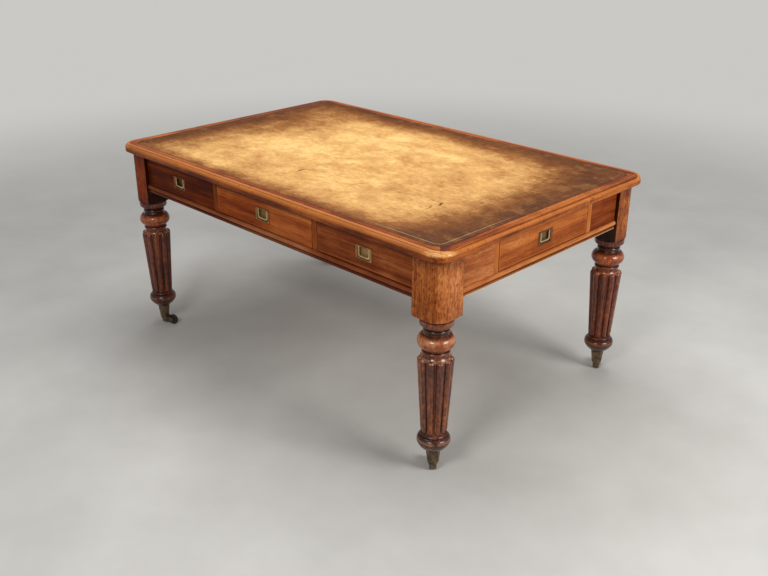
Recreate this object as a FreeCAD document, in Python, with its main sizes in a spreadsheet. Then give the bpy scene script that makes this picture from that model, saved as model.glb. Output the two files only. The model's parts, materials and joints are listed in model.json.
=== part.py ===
"""Partners desk: a mahogany writing table with drawers on all four sides, on turned and reeded legs.

Frame: millimetres, +Z up, +X along the long side, the front long side faces -Y.
The origin is on the floor, under the middle of the top.
"""
import FreeCAD
import Part
import Sketcher
import math
import os

doc = FreeCAD.newDocument("PartnersDesk")

# ----------------------------------------------------------------------------------------------
# Driving sizes in millimetres, one spreadsheet row each: alias, value, what it is
# ----------------------------------------------------------------------------------------------
DRIVING_SIZES = [
    ("top_length", 1640, "top, along X"),
    ("top_depth", 1070, "top, along Y"),
    ("desk_height", 762, "floor to leather"),
    ("top_thickness", 30, "border of the top"),
    ("top_corner_radius", 55, "outer corners of the top, in plan"),
    ("quirk_inset", 8, "small step on the border, in from the edge"),
    ("quirk_depth", 2, "height of that step"),
    ("quirk_sink", 2, "flat of the border let into the moulding below it"),
    ("thumb_radius", 11, "rounding of the edge below the quirk"),
    ("under_edge_radius", 5, "rounding of the edge's lower side"),
    ("border_width", 40, "border, from the edge to the leather"),
    ("leather_corner_radius", 45, "corners of the leather, in plan"),
    ("leather_thickness", 2, "inset leather"),
    ("inlay_gap", 0.2, "round the leather and the panel under it"),
    ("leg_inset", 75, "edge of the top to the axis of a leg"),
    ("post_width", 105, "square block at the head of a leg"),
    ("post_corner_radius", 45, "rounded outer corner of the block"),
    ("post_height", 197, "block, up to the underside of the top"),
    ("post_chamfer_rise", 2, "turned shoulder on the block's lower corners"),
    ("post_chamfer_reach", 28, "how far out that shoulder is turned"),
    ("cut_margin", 1, "cuts start this far outside the wood"),
    ("frieze_setback", 12.5, "frieze face behind the block's face"),
    ("frieze_height", 145, "lower rails, openings and upper rails together"),
    ("lower_rail_height", 28, "lower rails"),
    ("upper_rail_height", 16, "upper rails"),
    ("rail_depth", 60, "rails and dividers, front to back"),
    ("rail_bead_height", 17, "bead along the front of the lower rails"),
    ("rail_bead_swell", 7, "that bead, proud of the frieze"),
    ("rail_fillet_height", 9, "flat strip under the bead"),
    ("rail_fillet_reach", 3, "that strip, proud of the frieze"),
    ("tenon_length", 20, "rail tenons in the block"),
    ("tenon_thickness", 20, "rail tenons"),
    ("tenon_setback", 15, "tenon behind the frieze face"),
    ("tenon_shoulder", 4, "rail above and below its tenon"),
    ("divider_width", 22, "dividers and partitions"),
    ("centre_opening", 502, "width of the middle opening on a long side"),
    ("end_opening", 468, "width of the opening on an end"),
    ("end_panel_thickness", 20, "fixed panels beside the end drawers"),
    ("runner_width", 22, "runners and kickers"),
    ("runner_height", 18, "runners"),
    ("guide_height", 40, "guides behind the legs"),
    ("guide_width", 18, "guides behind the legs"),
    ("stop_height", 6, "drawer stops"),
    ("stop_width", 30, "drawer stops, across"),
    ("stop_depth", 20, "drawer stops, front to back"),
    ("stop_inset", 70, "stop, in from the side of the opening"),
    ("stop_gap", 0.3, "drawer front to its stop"),
    ("front_gap", 1, "round a drawer front"),
    ("front_thickness", 20, "drawer fronts"),
    ("lining_thickness", 10, "drawer sides and backs"),
    ("lining_top_gap", 8.7, "drawer sides below the top of the opening"),
    ("lining_rise", 0.3, "drawer side above its runner"),
    ("back_drop", 8, "drawer back below the top of the sides"),
    ("drawer_bottom_thickness", 6, "drawer bottoms"),
    ("drawer_bottom_rise", 8.5, "opening floor to the underside of a drawer bottom"),
    ("groove_depth", 5, "grooves that hold a drawer bottom"),
    ("drawer_back_clearance", 6, "behind the short drawers and the end drawers"),
    ("centre_drawer_space", 60, "middle drawer's back to the middle of the desk"),
    ("glue_block_side", 20, "glue blocks under the top"),
    ("glue_block_length", 60, "glue blocks under the top"),
    ("plate_side_flange", 6, "handle plate beyond its pan, at each side"),
    ("plate_top_flange", 1.5, "handle plate beyond its pan, above and below"),
    ("plate_thickness", 1.6, "handle plate's flange"),
    ("plate_stand_out", 0.6, "flange proud of the drawer front"),
    ("plate_corner_radius", 2, "flange corners"),
    ("pan_depth", 11, "drawer face to the back of the handle's recessed pan"),
    ("pan_floor", 1.5, "pan floor"),
    ("pan_side_wall", 3, "pan's side walls, which hold the bail"),
    ("pan_top_wall", 1.5, "pan's top and bottom walls"),
    ("pan_fit", 0.2, "plate in its pocket"),
    ("bail_width", 50, "outside of the bail"),
    ("bail_bar", 5.5, "width of the bail's bar"),
    ("bail_thickness", 4, "front to back"),
    ("bail_side_gap", 1, "bail to the pan's side walls"),
    ("bail_top_gap", 1.2, "bail to the pan's top wall"),
    ("bail_bottom_gap", 3.3, "bail to the pan's bottom wall"),
    ("bail_drop", 31.5, "hinge axis to the bottom of the bail"),
    ("bail_head", 2, "bail above its hinge axis"),
    ("bail_corner_radius", 9, "outer corners of the bail"),
    ("bail_edge_radius", 1, "softened edges of the bail"),
    ("bail_pin_radius", 1.5, "hinge pins"),
    ("bail_pin_length", 3, "hinge pins beyond the bail"),
    ("bail_pin_fit", 0.05, "radial clearance of the pins"),
    ("bail_pin_end_gap", 0.2, "pin end to the end of its bore"),
    ("hinge_depth", 2.2, "drawer face back to the hinge axis"),
    ("screw_from_end", 8, "plate's upper or lower edge to a screw"),
    ("screw_head_radius", 2.2, "plate screws"),
    ("screw_shank_radius", 1.1, "plate screws"),
    ("screw_length", 10, "shank in the wood"),
    ("screw_fit", 0.05, "radial clearance round a screw"),
    ("spigot_bottom_radius", 15.4, "spigot in the caster cup"),
    ("spigot_top_radius", 20.6, "spigot at the rim of the cup"),
    ("cup_bottom", 36, "floor to the underside of the cup"),
    ("cup_height", 46, "cup, outside"),
    ("cup_floor", 4, "cup's floor, under the spigot"),
    ("cup_lower_wall", 2.6, "cup's wall at its floor"),
    ("cup_upper_wall", 2.4, "cup's wall at its rim"),
    ("cup_rim_height", 4, "beaded rim"),
    ("cup_rim_stand_out", 1.5, "beaded rim"),
    ("cup_fit", 0.1, "spigot in the cup"),
    ("pintle_radius", 4, "swivel pin of the caster"),
    ("pintle_rise", 26, "underside of the cup to the top of the swivel pin"),
    ("pintle_fit", 0.05, "radial clearance in the cup"),
    ("pintle_hole_gap", 0.5, "round the pin in the foot's hole"),
    ("pintle_hole_end_gap", 6, "pin to the end of that hole"),
    ("thrust_gap", 0.2, "horn below the cup"),
    ("hub_radius", 17, "horn's round head"),
    ("hub_height", 5, "horn's round head"),
    ("cheek_thickness", 3.5, "horn's two cheeks"),
    ("wheel_side_gap", 1, "wheel to a cheek"),
    ("horn_toe_reach", 15, "horn's front edge ahead of the swivel axis"),
    ("horn_tip_reach", 5, "horn's lower tip ahead of the swivel axis"),
    ("horn_tip_height", 6, "floor to that tip"),
    ("horn_tip_swell", 2, "curve of the horn's edge at that tip"),
    ("axle_boss_radius", 9, "end of the cheeks round the axle"),
    ("wheel_trail", 42, "swivel axis to the axle"),
    ("wheel_radius", 20, "caster wheel"),
    ("wheel_width", 13, "caster wheel"),
    ("wheel_edge_radius", 2.5, "rounded tread"),
    ("wheel_dish_depth", 1.5, "hollow in the wheel's faces"),
    ("wheel_rim_width", 5, "tread to the hollow in the wheel's faces"),
    ("wheel_boss_radius", 7, "middle of the wheel"),
    ("wheel_clearance", 3, "round the wheel in its slot"),
    ("axle_radius", 3, "axle pin"),
    ("axle_fit", 0.05, "radial clearance on the axle"),
    ("axle_head_radius", 5, "riveted ends of the pin"),
    ("axle_head_height", 1.5, "riveted ends of the pin"),
    ("rim_gap", 1, "rim of the cup to the lower bun"),
    ("bun_foot_rise", 30, "lower bun, up to where it is widest"),
    ("bun_belt_rise", 8, "lower bun, where it is widest"),
    ("bun_crown_rise", 13, "lower bun, above that"),
    ("lower_bun_radius", 52, "lower bun"),
    ("lower_bun_top_radius", 43, "lower bun"),
    ("lower_bun_foot_swell", 4.5, "swell of the bun's lower curve"),
    ("lower_bun_belt_swell", 0.6, "swell of the bun where it is widest"),
    ("lower_bun_crown_swell", 2.5, "swell of the bun's upper curve"),
    ("ankle_groove_rise", 2, "lower bun to the small ring on it"),
    ("ankle_ring_rise", 7, "small ring on the lower bun"),
    ("ankle_ring_neck", 39.5, "small ring, where it leaves the bun"),
    ("ankle_ring_bulge", 2.6, "small ring"),
    ("waist_rise", 4, "small ring to the waist under the reeds"),
    ("waist_radius", 34.5, "under the reeds"),
    ("core_rise", 4, "waist to the ground between the reeds"),
    ("core_bottom_radius", 33, "ground between the reeds, lower end"),
    ("core_top_radius", 45.5, "ground between the reeds, upper end"),
    ("reed_start_rise", 5, "lower end of the ground to that of a reed's axis"),
    ("reed_end_rise", 1, "upper end of the ground to that of a reed's axis"),
    ("reed_bottom_out", 32.4, "leg axis to a reed's axis, below"),
    ("reed_top_out", 43.6, "leg axis to a reed's axis, above"),
    ("reed_bottom_radius", 9, "reed, below"),
    ("reed_top_radius", 12.2, "reed, above"),
    ("reed_count", 10, "reeds round a leg"),
    ("shoulder_rise", 19, "turning above the reeds"),
    ("shoulder_radius", 39, "turning above the reeds"),
    ("shoulder_swell", 2, "swell of that turning"),
    ("ring_groove_rise", 6, "that turning to the ring"),
    ("ring_rise", 12, "ring below the upper bun"),
    ("ring_neck", 38.5, "ring below the upper bun"),
    ("ring_bulge", 5, "ring below the upper bun"),
    ("bun_groove_rise", 5, "ring to the upper bun"),
    ("upper_bun_rise", 48, "upper bun"),
    ("upper_bun_neck", 40, "upper bun"),
    ("upper_bun_bulge", 17.5, "upper bun"),
    ("collar_groove_rise", 8, "upper bun to the small bead"),
    ("collar_rise", 9, "small bead above the bun"),
    ("collar_neck", 37, "small bead above the bun"),
    ("collar_bulge", 3, "small bead above the bun"),
    ("ovolo_groove_rise", 8, "small bead to the ovolo"),
    ("ovolo_rise", 12, "ovolo under the block"),
    ("ovolo_bottom_radius", 43, "ovolo under the block"),
    ("ovolo_radius", 52, "ovolo under the block"),
    ("ovolo_bulge", 3, "ovolo under the block"),
    ("band_rise", 10, "flat band on the ovolo"),
    ("band_groove_rise", 3, "band to the groove above it"),
    ("quirk_neck_radius", 49, "groove between the band and the block"),
    ("quirk_neck_rise", 3, "groove between the band and the block"),
    ("turning_overlap", 6, "turning carried up into the block"),
    ("front_right_trail_angle", 135, "degrees from +X, caster at rest"),
    ("back_right_trail_angle", 112, "degrees from +X, caster at rest"),
    ("front_left_trail_angle", 18, "degrees from +X, caster at rest"),
    ("back_left_trail_angle", 60, "degrees from +X, caster at rest"),
    ("front_right_reed_angle", 5, "degrees, turn of the reeds about the leg"),
    ("back_right_reed_angle", -13, "degrees, turn of the reeds about the leg"),
    ("front_left_reed_angle", -16, "degrees, turn of the reeds about the leg"),
    ("back_left_reed_angle", 7, "degrees, turn of the reeds about the leg"),
]

# Places that follow from the driving sizes: alias, formula
DERIVED_PLACES = [
    ("leg_x", "Sizes.top_length / 2 - Sizes.leg_inset"),
    ("leg_y", "Sizes.top_depth / 2 - Sizes.leg_inset"),
    ("post_half", "Sizes.post_width / 2"),
    ("frame_top", "Sizes.desk_height - Sizes.top_thickness"),
    ("frieze_x", "leg_x + post_half - Sizes.frieze_setback"),
    ("frieze_y", "leg_y + post_half - Sizes.frieze_setback"),
    ("post_inner_x", "leg_x - post_half"),
    ("post_inner_y", "leg_y - post_half"),
    ("post_bottom", "frame_top - Sizes.post_height"),
    ("rail_bottom", "frame_top - Sizes.frieze_height"),
    ("opening_floor", "rail_bottom + Sizes.lower_rail_height"),
    ("opening_ceiling", "frame_top - Sizes.upper_rail_height"),
    ("opening_height", "opening_ceiling - opening_floor"),
    ("centre_edge", "Sizes.centre_opening / 2"),
    ("cross_outer", "centre_edge + Sizes.divider_width"),
    ("end_edge", "Sizes.end_opening / 2"),
    ("side_outer", "end_edge + Sizes.divider_width"),
    ("rail_back_x", "frieze_x - Sizes.rail_depth"),
    ("rail_back_y", "frieze_y - Sizes.rail_depth"),
    ("outer_opening", "post_inner_x - cross_outer"),
    ("outer_centre", "(post_inner_x + cross_outer) / 2"),
    ("outer_drawer_depth", "frieze_y - side_outer - Sizes.drawer_back_clearance"),
    ("end_drawer_depth", "frieze_x - cross_outer - Sizes.drawer_back_clearance"),
    ("centre_drawer_depth", "frieze_y - Sizes.centre_drawer_space"),
    ("lining_height", "opening_height - Sizes.lining_rise - Sizes.lining_top_gap"),
    ("recess_width", "Sizes.bail_width + 2 * Sizes.bail_side_gap"),
    ("recess_height", "Sizes.bail_head + Sizes.bail_drop + Sizes.bail_top_gap + Sizes.bail_bottom_gap"),
    ("pan_width", "recess_width + 2 * Sizes.pan_side_wall"),
    ("pan_height", "recess_height + 2 * Sizes.pan_top_wall"),
    ("plate_width", "pan_width + 2 * Sizes.plate_side_flange"),
    ("plate_height", "pan_height + 2 * Sizes.plate_top_flange"),
    ("hinge_height", "recess_height / 2 - Sizes.bail_top_gap - Sizes.bail_head"),
    ("screw_across", "pan_width / 2 + Sizes.plate_side_flange / 2"),
    ("screw_up", "plate_height / 2 - Sizes.screw_from_end"),
    ("foot_bottom", "Sizes.cup_bottom + Sizes.cup_floor"),
    ("cup_top", "Sizes.cup_bottom + Sizes.cup_height"),
    ("cup_bottom_radius", "Sizes.spigot_bottom_radius + Sizes.cup_lower_wall"),
    ("cup_top_radius", "Sizes.spigot_top_radius + Sizes.cup_upper_wall"),
    ("pintle_top", "Sizes.cup_bottom + Sizes.pintle_rise"),
    ("pintle_hole_top", "pintle_top + Sizes.pintle_hole_end_gap"),
    ("wheel_slot", "Sizes.wheel_width + 2 * Sizes.wheel_side_gap"),
    ("horn_width", "wheel_slot + 2 * Sizes.cheek_thickness"),
    ("lower_bun_bottom", "cup_top + Sizes.rim_gap"),
    ("lower_bun_low", "lower_bun_bottom + Sizes.bun_foot_rise"),
    ("lower_bun_high", "lower_bun_low + Sizes.bun_belt_rise"),
    ("lower_bun_top", "lower_bun_high + Sizes.bun_crown_rise"),
    ("ankle_ring_bottom", "lower_bun_top + Sizes.ankle_groove_rise"),
    ("ankle_ring_top", "ankle_ring_bottom + Sizes.ankle_ring_rise"),
    ("waist_height", "ankle_ring_top + Sizes.waist_rise"),
    ("core_bottom", "waist_height + Sizes.core_rise"),
    ("reed_bottom", "core_bottom + Sizes.reed_start_rise"),
    ("quirk_neck_height", "post_bottom - Sizes.quirk_neck_rise"),
    ("ovolo_band_top", "quirk_neck_height - Sizes.band_groove_rise"),
    ("ovolo_top", "ovolo_band_top - Sizes.band_rise"),
    ("ovolo_bottom", "ovolo_top - Sizes.ovolo_rise"),
    ("collar_top", "ovolo_bottom - Sizes.ovolo_groove_rise"),
    ("collar_bottom", "collar_top - Sizes.collar_rise"),
    ("upper_bun_top", "collar_bottom - Sizes.collar_groove_rise"),
    ("upper_bun_bottom", "upper_bun_top - Sizes.upper_bun_rise"),
    ("ring_top", "upper_bun_bottom - Sizes.bun_groove_rise"),
    ("ring_bottom", "ring_top - Sizes.ring_rise"),
    ("shoulder_height", "ring_bottom - Sizes.ring_groove_rise"),
    ("core_top", "shoulder_height - Sizes.shoulder_rise"),
    ("reed_top", "core_top + Sizes.reed_end_rise"),
]


def make_sheet(name, rows, prefix):
    """A spreadsheet with one named cell for each row."""
    made = doc.addObject("Spreadsheet::Sheet", name)
    for number, row in enumerate(rows, start=1):
        cell = f"B{number}"
        made.set(f"A{number}", row[0])
        made.set(cell, prefix + str(row[1]))
        made.setAlias(cell, row[0])
    return made


make_sheet("Sizes", DRIVING_SIZES, "")
places = make_sheet("Places", DERIVED_PLACES, "=")
doc.recompute()


def value(expression):
    """The number that an expression gives with the present sizes."""
    return float(places.evalExpression(expression))


# ----------------------------------------------------------------------------------------------
# Helpers
# ----------------------------------------------------------------------------------------------
def bind(thing, **expressions):
    """Bind properties to expressions; Placement parts are written Base_x, Offset_z and so on."""
    paths = {
        "Base_x": ".Placement.Base.x",
        "Base_y": ".Placement.Base.y",
        "Base_z": ".Placement.Base.z",
        "Offset_x": ".AttachmentOffset.Base.x",
        "Offset_y": ".AttachmentOffset.Base.y",
        "Offset_z": ".AttachmentOffset.Base.z",
        "Offset_angle": ".AttachmentOffset.Rotation.Angle",
    }
    for name, expression in expressions.items():
        thing.setExpression(paths.get(name, name), expression)


def side_span(sign, near, far):
    """Start and size of a stretch that runs from near to far on one side of the middle."""
    if sign > 0:
        return near, f"({far}) - ({near})"
    return f"-({far})", f"({far}) - ({near})"


def board(label, x_span, y_span, z_span):
    """A plain board: each span is its start and its size."""
    made = doc.addObject("Part::Box", label)
    made.Label = label
    bind(made, Base_x=x_span[0], Base_y=y_span[0], Base_z=z_span[0])
    bind(made, Length=x_span[1], Width=y_span[1], Height=z_span[1])
    return made


def group(label, members):
    """Separate solids of one kind that share a node."""
    made = doc.addObject("Part::Compound", label)
    made.Label = label
    made.Links = members
    return made


def make_body(label):
    """An empty body to build features in."""
    made = doc.addObject("PartDesign::Body", label)
    made.Label = label
    return made


def origin_feature(body, role):
    """The body's own origin plane or axis."""
    for feature in body.Origin.OriginFeatures:
        if feature.Role == role:
            return feature
    raise ValueError(f"{body.Label} has no {role}")


def attach(feature, body, role):
    """Lay a feature on one of the body's origin planes."""
    feature.AttachmentSupport = [(origin_feature(body, role), "")]
    feature.MapMode = "FlatFace"


def block(body, kind, name, x_span, y_span, z_span):
    """Add or cut a box: kind is Additive or Subtractive, each span is start and size."""
    made = body.newObject(f"PartDesign::{kind}Box", name)
    attach(made, body, "XY_Plane")
    bind(made, Offset_x=x_span[0], Offset_y=y_span[0], Offset_z=z_span[0])
    bind(made, Length=x_span[1], Width=y_span[1], Height=z_span[1])
    return made


def rod(body, kind, name, turn, base, radius, height):
    """Add or cut a cylinder that starts at base; turn takes the up axis to the rod's direction."""
    made = body.newObject(f"PartDesign::{kind}Cylinder", name)
    attach(made, body, "XY_Plane")
    made.AttachmentOffset = FreeCAD.Placement(FreeCAD.Vector(), turn)
    bind(made, Offset_x=base[0], Offset_y=base[1], Offset_z=base[2])
    bind(made, Radius=radius, Height=height)
    return made


# The swell of a quarter circle, for a radius of 1
QUARTER_SWELL = "(1 - sqrt(0.5))"
# Lengths that differ by less than this are equal
TOLERANCE = 0.001

UPRIGHT = FreeCAD.Rotation()
ALONG_X = FreeCAD.Rotation(FreeCAD.Vector(0, 1, 0), 90)
ALONG_Y = FreeCAD.Rotation(FreeCAD.Vector(1, 0, 0), -90)


def outline(body, name, role, corners):
    """A closed sketch through corners (across, up) or (across, up, bulge).

    A bulge makes the edge that arrives at the corner an arc, which swells to the right of the
    direction of travel by that much. Every corner is held by two dimensions from the origin.
    """
    sketch = body.newObject("Sketcher::SketchObject", name)
    attach(sketch, body, role)
    points = [FreeCAD.Vector(value(corner[0]), value(corner[1]), 0) for corner in corners]
    ends = []
    for index, corner in enumerate(corners):
        start = points[index - 1]
        finish = points[index]
        if len(corner) == 2:
            edge = sketch.addGeometry(Part.LineSegment(start, finish))
            ends.append((edge, 1, 2))
        else:
            edge, first, last = add_arc(sketch, start, finish, value(corner[2]))
            ends.append((edge, first, last))
            radius = arc_radius(corners[index - 1], corner)
            held = sketch.addConstraint(Sketcher.Constraint("Radius", edge, value(radius)))
            sketch.setExpression(f"Constraints[{held}]", radius)
    for index, corner in enumerate(corners):
        edge, _, last = ends[index]
        following, first, _ = ends[(index + 1) % len(corners)]
        sketch.addConstraint(Sketcher.Constraint("Coincident", edge, last, following, first))
        for kind, expression in (("DistanceX", corner[0]), ("DistanceY", corner[1])):
            constraint = Sketcher.Constraint(kind, -1, 1, edge, last, value(expression))
            held = sketch.addConstraint(constraint)
            sketch.setExpression(f"Constraints[{held}]", expression)
    return sketch


def arc_radius(corner_before, corner):
    """The radius of an arc from its chord and its bulge, as an expression."""
    across = f"(({corner[0]}) - ({corner_before[0]}))"
    up = f"(({corner[1]}) - ({corner_before[1]}))"
    bulge = f"abs({corner[2]})"
    return f"({across} * {across} + {up} * {up}) / (8 * {bulge}) + {bulge} / 2"


def add_arc(sketch, start, finish, bulge):
    """An arc between two points; gives the edge and which of its ends comes first and last."""
    chord = finish - start
    to_right = FreeCAD.Vector(chord.y, -chord.x, 0).normalize()
    half = chord.Length / 2
    radius = (half * half + bulge * bulge) / (2 * abs(bulge))
    reach = radius - abs(bulge)
    side = 1 if bulge > 0 else -1
    centre = (start + finish) * 0.5 - to_right * (side * reach)
    start_angle = math.atan2(start.y - centre.y, start.x - centre.x)
    finish_angle = math.atan2(finish.y - centre.y, finish.x - centre.x)
    circle = Part.Circle(centre, FreeCAD.Vector(0, 0, 1), radius)
    if side > 0:
        edge = sketch.addGeometry(Part.ArcOfCircle(circle, start_angle, finish_angle))
        return edge, 1, 2
    edge = sketch.addGeometry(Part.ArcOfCircle(circle, finish_angle, start_angle))
    return edge, 2, 1


def round_cornered(half_x, half_y, radius):
    """Corners of a rectangle about the origin with quarter-round corners, anticlockwise."""
    bulge = f"{QUARTER_SWELL} * ({radius})"
    return [
        (half_x, f"-({half_y}) + ({radius})", bulge),
        (half_x, f"({half_y}) - ({radius})"),
        (f"({half_x}) - ({radius})", half_y, bulge),
        (f"-({half_x}) + ({radius})", half_y),
        (f"-({half_x})", f"({half_y}) - ({radius})", bulge),
        (f"-({half_x})", f"-({half_y}) + ({radius})"),
        (f"-({half_x}) + ({radius})", f"-({half_y})", bulge),
        (f"({half_x}) - ({radius})", f"-({half_y})"),
    ]


def pad(body, name, sketch, length, both_ways=False):
    """Extrude a sketch along its plane's normal, or by half the length to each side."""
    made = body.newObject("PartDesign::Pad", name)
    made.Profile = sketch
    made.Midplane = both_ways
    bind(made, Length=length)
    return made


def turn_profile(body, kind, name, sketch):
    """Revolve a half outline about the body's upright axis: kind is Revolution or Groove."""
    made = body.newObject(f"PartDesign::{kind}", name)
    made.Profile = sketch
    made.ReferenceAxis = (sketch, ["V_Axis"])
    made.Angle = 360
    return made


def fillet_edges(body, name, radius, wanted):
    """Round the edges of the body that the wanted test picks."""
    doc.recompute()
    base = body.Tip
    names = [f"Edge{i}" for i, edge in enumerate(base.Shape.Edges, start=1) if wanted(edge)]
    made = body.newObject("PartDesign::Fillet", name)
    made.Base = (base, names)
    bind(made, Radius=radius)
    return made


def lies_at(edge, height):
    """True when the whole edge lies at one height."""
    box = edge.BoundBox
    return abs(box.ZMin - height) < TOLERANCE and abs(box.ZMax - height) < TOLERANCE


def runs_front_to_back(edge):
    """True when the edge is a line along Y."""
    box = edge.BoundBox
    return box.XLength < TOLERANCE and box.ZLength < TOLERANCE


def lies_across(edge):
    """True when the edge lies in one plane across Y."""
    return edge.BoundBox.YLength < TOLERANCE


# ----------------------------------------------------------------------------------------------
# The top: mitred border, panel and leather
# ----------------------------------------------------------------------------------------------
HALF_LENGTH = "Sizes.top_length / 2"
HALF_DEPTH = "Sizes.top_depth / 2"
SIDES = (-1, 1)


def make_border_ring():
    """The whole border before it is cut at its mitres."""
    body = make_body("border_ring")
    edge = outline(body, "edge_outline", "XY_Plane",
                   round_cornered(HALF_LENGTH, HALF_DEPTH, "Sizes.top_corner_radius"))
    pad(body, "edge_pad", edge, "Sizes.top_thickness - Sizes.quirk_depth")
    top = value("Sizes.top_thickness - Sizes.quirk_depth")
    fillet_edges(body, "thumb", "Sizes.thumb_radius", lambda e: lies_at(e, top))
    fillet_edges(body, "under_edge", "Sizes.under_edge_radius", lambda e: lies_at(e, 0))
    flat = outline(body, "flat_outline", "XY_Plane",
                   round_cornered(f"{HALF_LENGTH} - Sizes.quirk_inset",
                                  f"{HALF_DEPTH} - Sizes.quirk_inset",
                                  "Sizes.top_corner_radius - Sizes.quirk_inset"))
    bind(flat, Offset_z="Sizes.top_thickness - Sizes.quirk_depth - Sizes.quirk_sink")
    pad(body, "flat_pad", flat, "Sizes.quirk_depth + Sizes.quirk_sink")
    hollow = outline(body, "hollow_outline", "XY_Plane",
                     round_cornered(f"{HALF_LENGTH} - Sizes.border_width",
                                    f"{HALF_DEPTH} - Sizes.border_width",
                                    "Sizes.leather_corner_radius"))
    cut = body.newObject("PartDesign::Pocket", "hollow")
    cut.Profile = hollow
    cut.Reversed = True
    bind(cut, Length="Sizes.top_thickness")
    bind(body, Base_z="Places.frame_top")
    return body


def make_border_member(ring, name, turn, half_base, half_peak, reach):
    """One mitred member: the part of the ring inside a wedge whose sides run at 45 degrees.

    Before its turn the wedge stands at the front: its base, half_base to each side, is at the
    edge of the top, reach in front of the middle, and its peak, half_peak to each side, is
    half the depth of the top farther in.
    """
    wedge = doc.addObject("Part::Wedge", f"{name}_wedge")
    wedge.Placement = FreeCAD.Placement(FreeCAD.Vector(), FreeCAD.Rotation(turn, 0, 0))
    bind(wedge, Xmin=f"-({half_base})", Xmax=half_base, X2min=f"-({half_peak})", X2max=half_peak)
    bind(wedge, Ymin=f"-({reach})", Ymax=f"-({reach}) + {HALF_DEPTH}")
    bind(wedge, Zmin="Places.frame_top", Zmax="Sizes.desk_height")
    bind(wedge, Z2min="Places.frame_top", Z2max="Sizes.desk_height")
    member = doc.addObject("Part::Common", name)
    member.Base = ring
    member.Tool = wedge
    return member


def make_top():
    """The border in four members, the panel inside it and the leather on the panel."""
    ring = make_border_ring()
    long_members = [make_border_member(ring, f"border_long_{name}", turn, HALF_LENGTH,
                                       f"{HALF_LENGTH} - {HALF_DEPTH}", HALF_DEPTH)
                    for name, turn in (("front", 0), ("back", 180))]
    end_members = [make_border_member(ring, f"border_end_{name}", turn, HALF_DEPTH,
                                      "0", HALF_LENGTH)
                   for name, turn in (("right", 90), ("left", -90))]
    inside = round_cornered(f"{HALF_LENGTH} - Sizes.border_width - Sizes.inlay_gap",
                            f"{HALF_DEPTH} - Sizes.border_width - Sizes.inlay_gap",
                            "Sizes.leather_corner_radius - Sizes.inlay_gap")
    panel = make_body("top_panel")
    pad(panel, "panel_pad", outline(panel, "panel_outline", "XY_Plane", inside),
        "Sizes.top_thickness - Sizes.leather_thickness")
    bind(panel, Base_z="Places.frame_top")
    leather = make_body("top_leather")
    pad(leather, "leather_pad", outline(leather, "leather_outline", "XY_Plane", inside),
        "Sizes.leather_thickness")
    bind(leather, Base_z="Sizes.desk_height - Sizes.leather_thickness")
    return [
        group("top_border_long_sides", long_members),
        group("top_border_ends", end_members),
        panel,
        leather,
    ]


# ----------------------------------------------------------------------------------------------
# Legs
# ----------------------------------------------------------------------------------------------
# Corner name: signs of X and Y, turn of the leg about its axis, so the rounded corner is outside
CORNERS = {
    "front_right": (1, -1, 0),
    "back_right": (1, 1, 90),
    "back_left": (-1, 1, 180),
    "front_left": (-1, -1, -90),
}

# The turned outline from the foot up: radius, height, and the swell of the edge before it
LEG_PROFILE = [
    ("0", "Places.foot_bottom"),
    ("Sizes.spigot_bottom_radius - Sizes.cup_fit", "Places.foot_bottom"),
    ("Sizes.spigot_top_radius - Sizes.cup_fit", "Places.cup_top"),
    ("Places.cup_top_radius", "Places.lower_bun_bottom"),
    ("Sizes.lower_bun_radius", "Places.lower_bun_low", "Sizes.lower_bun_foot_swell"),
    ("Sizes.lower_bun_radius", "Places.lower_bun_high", "Sizes.lower_bun_belt_swell"),
    ("Sizes.lower_bun_top_radius", "Places.lower_bun_top", "Sizes.lower_bun_crown_swell"),
    ("Sizes.ankle_ring_neck", "Places.ankle_ring_bottom"),
    ("Sizes.ankle_ring_neck", "Places.ankle_ring_top", "Sizes.ankle_ring_bulge"),
    ("Sizes.waist_radius", "Places.waist_height"),
    ("Sizes.core_bottom_radius", "Places.core_bottom"),
    ("Sizes.core_top_radius", "Places.core_top"),
    ("Sizes.shoulder_radius", "Places.shoulder_height", "Sizes.shoulder_swell"),
    ("Sizes.ring_neck", "Places.ring_bottom"),
    ("Sizes.ring_neck", "Places.ring_top", "Sizes.ring_bulge"),
    ("Sizes.upper_bun_neck", "Places.upper_bun_bottom"),
    ("Sizes.upper_bun_neck", "Places.upper_bun_top", "Sizes.upper_bun_bulge"),
    ("Sizes.collar_neck", "Places.collar_bottom"),
    ("Sizes.collar_neck", "Places.collar_top", "Sizes.collar_bulge"),
    ("Sizes.ovolo_bottom_radius", "Places.ovolo_bottom"),
    ("Sizes.ovolo_radius", "Places.ovolo_top", "Sizes.ovolo_bulge"),
    ("Sizes.ovolo_radius", "Places.ovolo_band_top"),
    ("Sizes.quirk_neck_radius", "Places.quirk_neck_height"),
    ("Sizes.quirk_neck_radius", "Places.post_bottom + Sizes.turning_overlap"),
    ("0", "Places.post_bottom + Sizes.turning_overlap"),
]


# Start and size, up, of the rails' tenons and of their mortises in the legs
TENON_HEIGHTS = {
    "lower": ("Places.rail_bottom + Sizes.tenon_shoulder",
              "Sizes.lower_rail_height - 2 * Sizes.tenon_shoulder"),
    "upper": ("Places.opening_ceiling + Sizes.tenon_shoulder",
              "Sizes.upper_rail_height - Sizes.tenon_shoulder"),
}


def upright_plane(body, name, angle):
    """A plane through the body's upright axis, turned by an angle from the XZ plane."""
    plane = body.newObject("PartDesign::Plane", name)
    attach(plane, body, "XZ_Plane")
    plane.AttachmentOffset = FreeCAD.Placement(
        FreeCAD.Vector(), FreeCAD.Rotation(FreeCAD.Vector(0, 1, 0), 1))
    bind(plane, Offset_angle=angle)
    return plane


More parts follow.
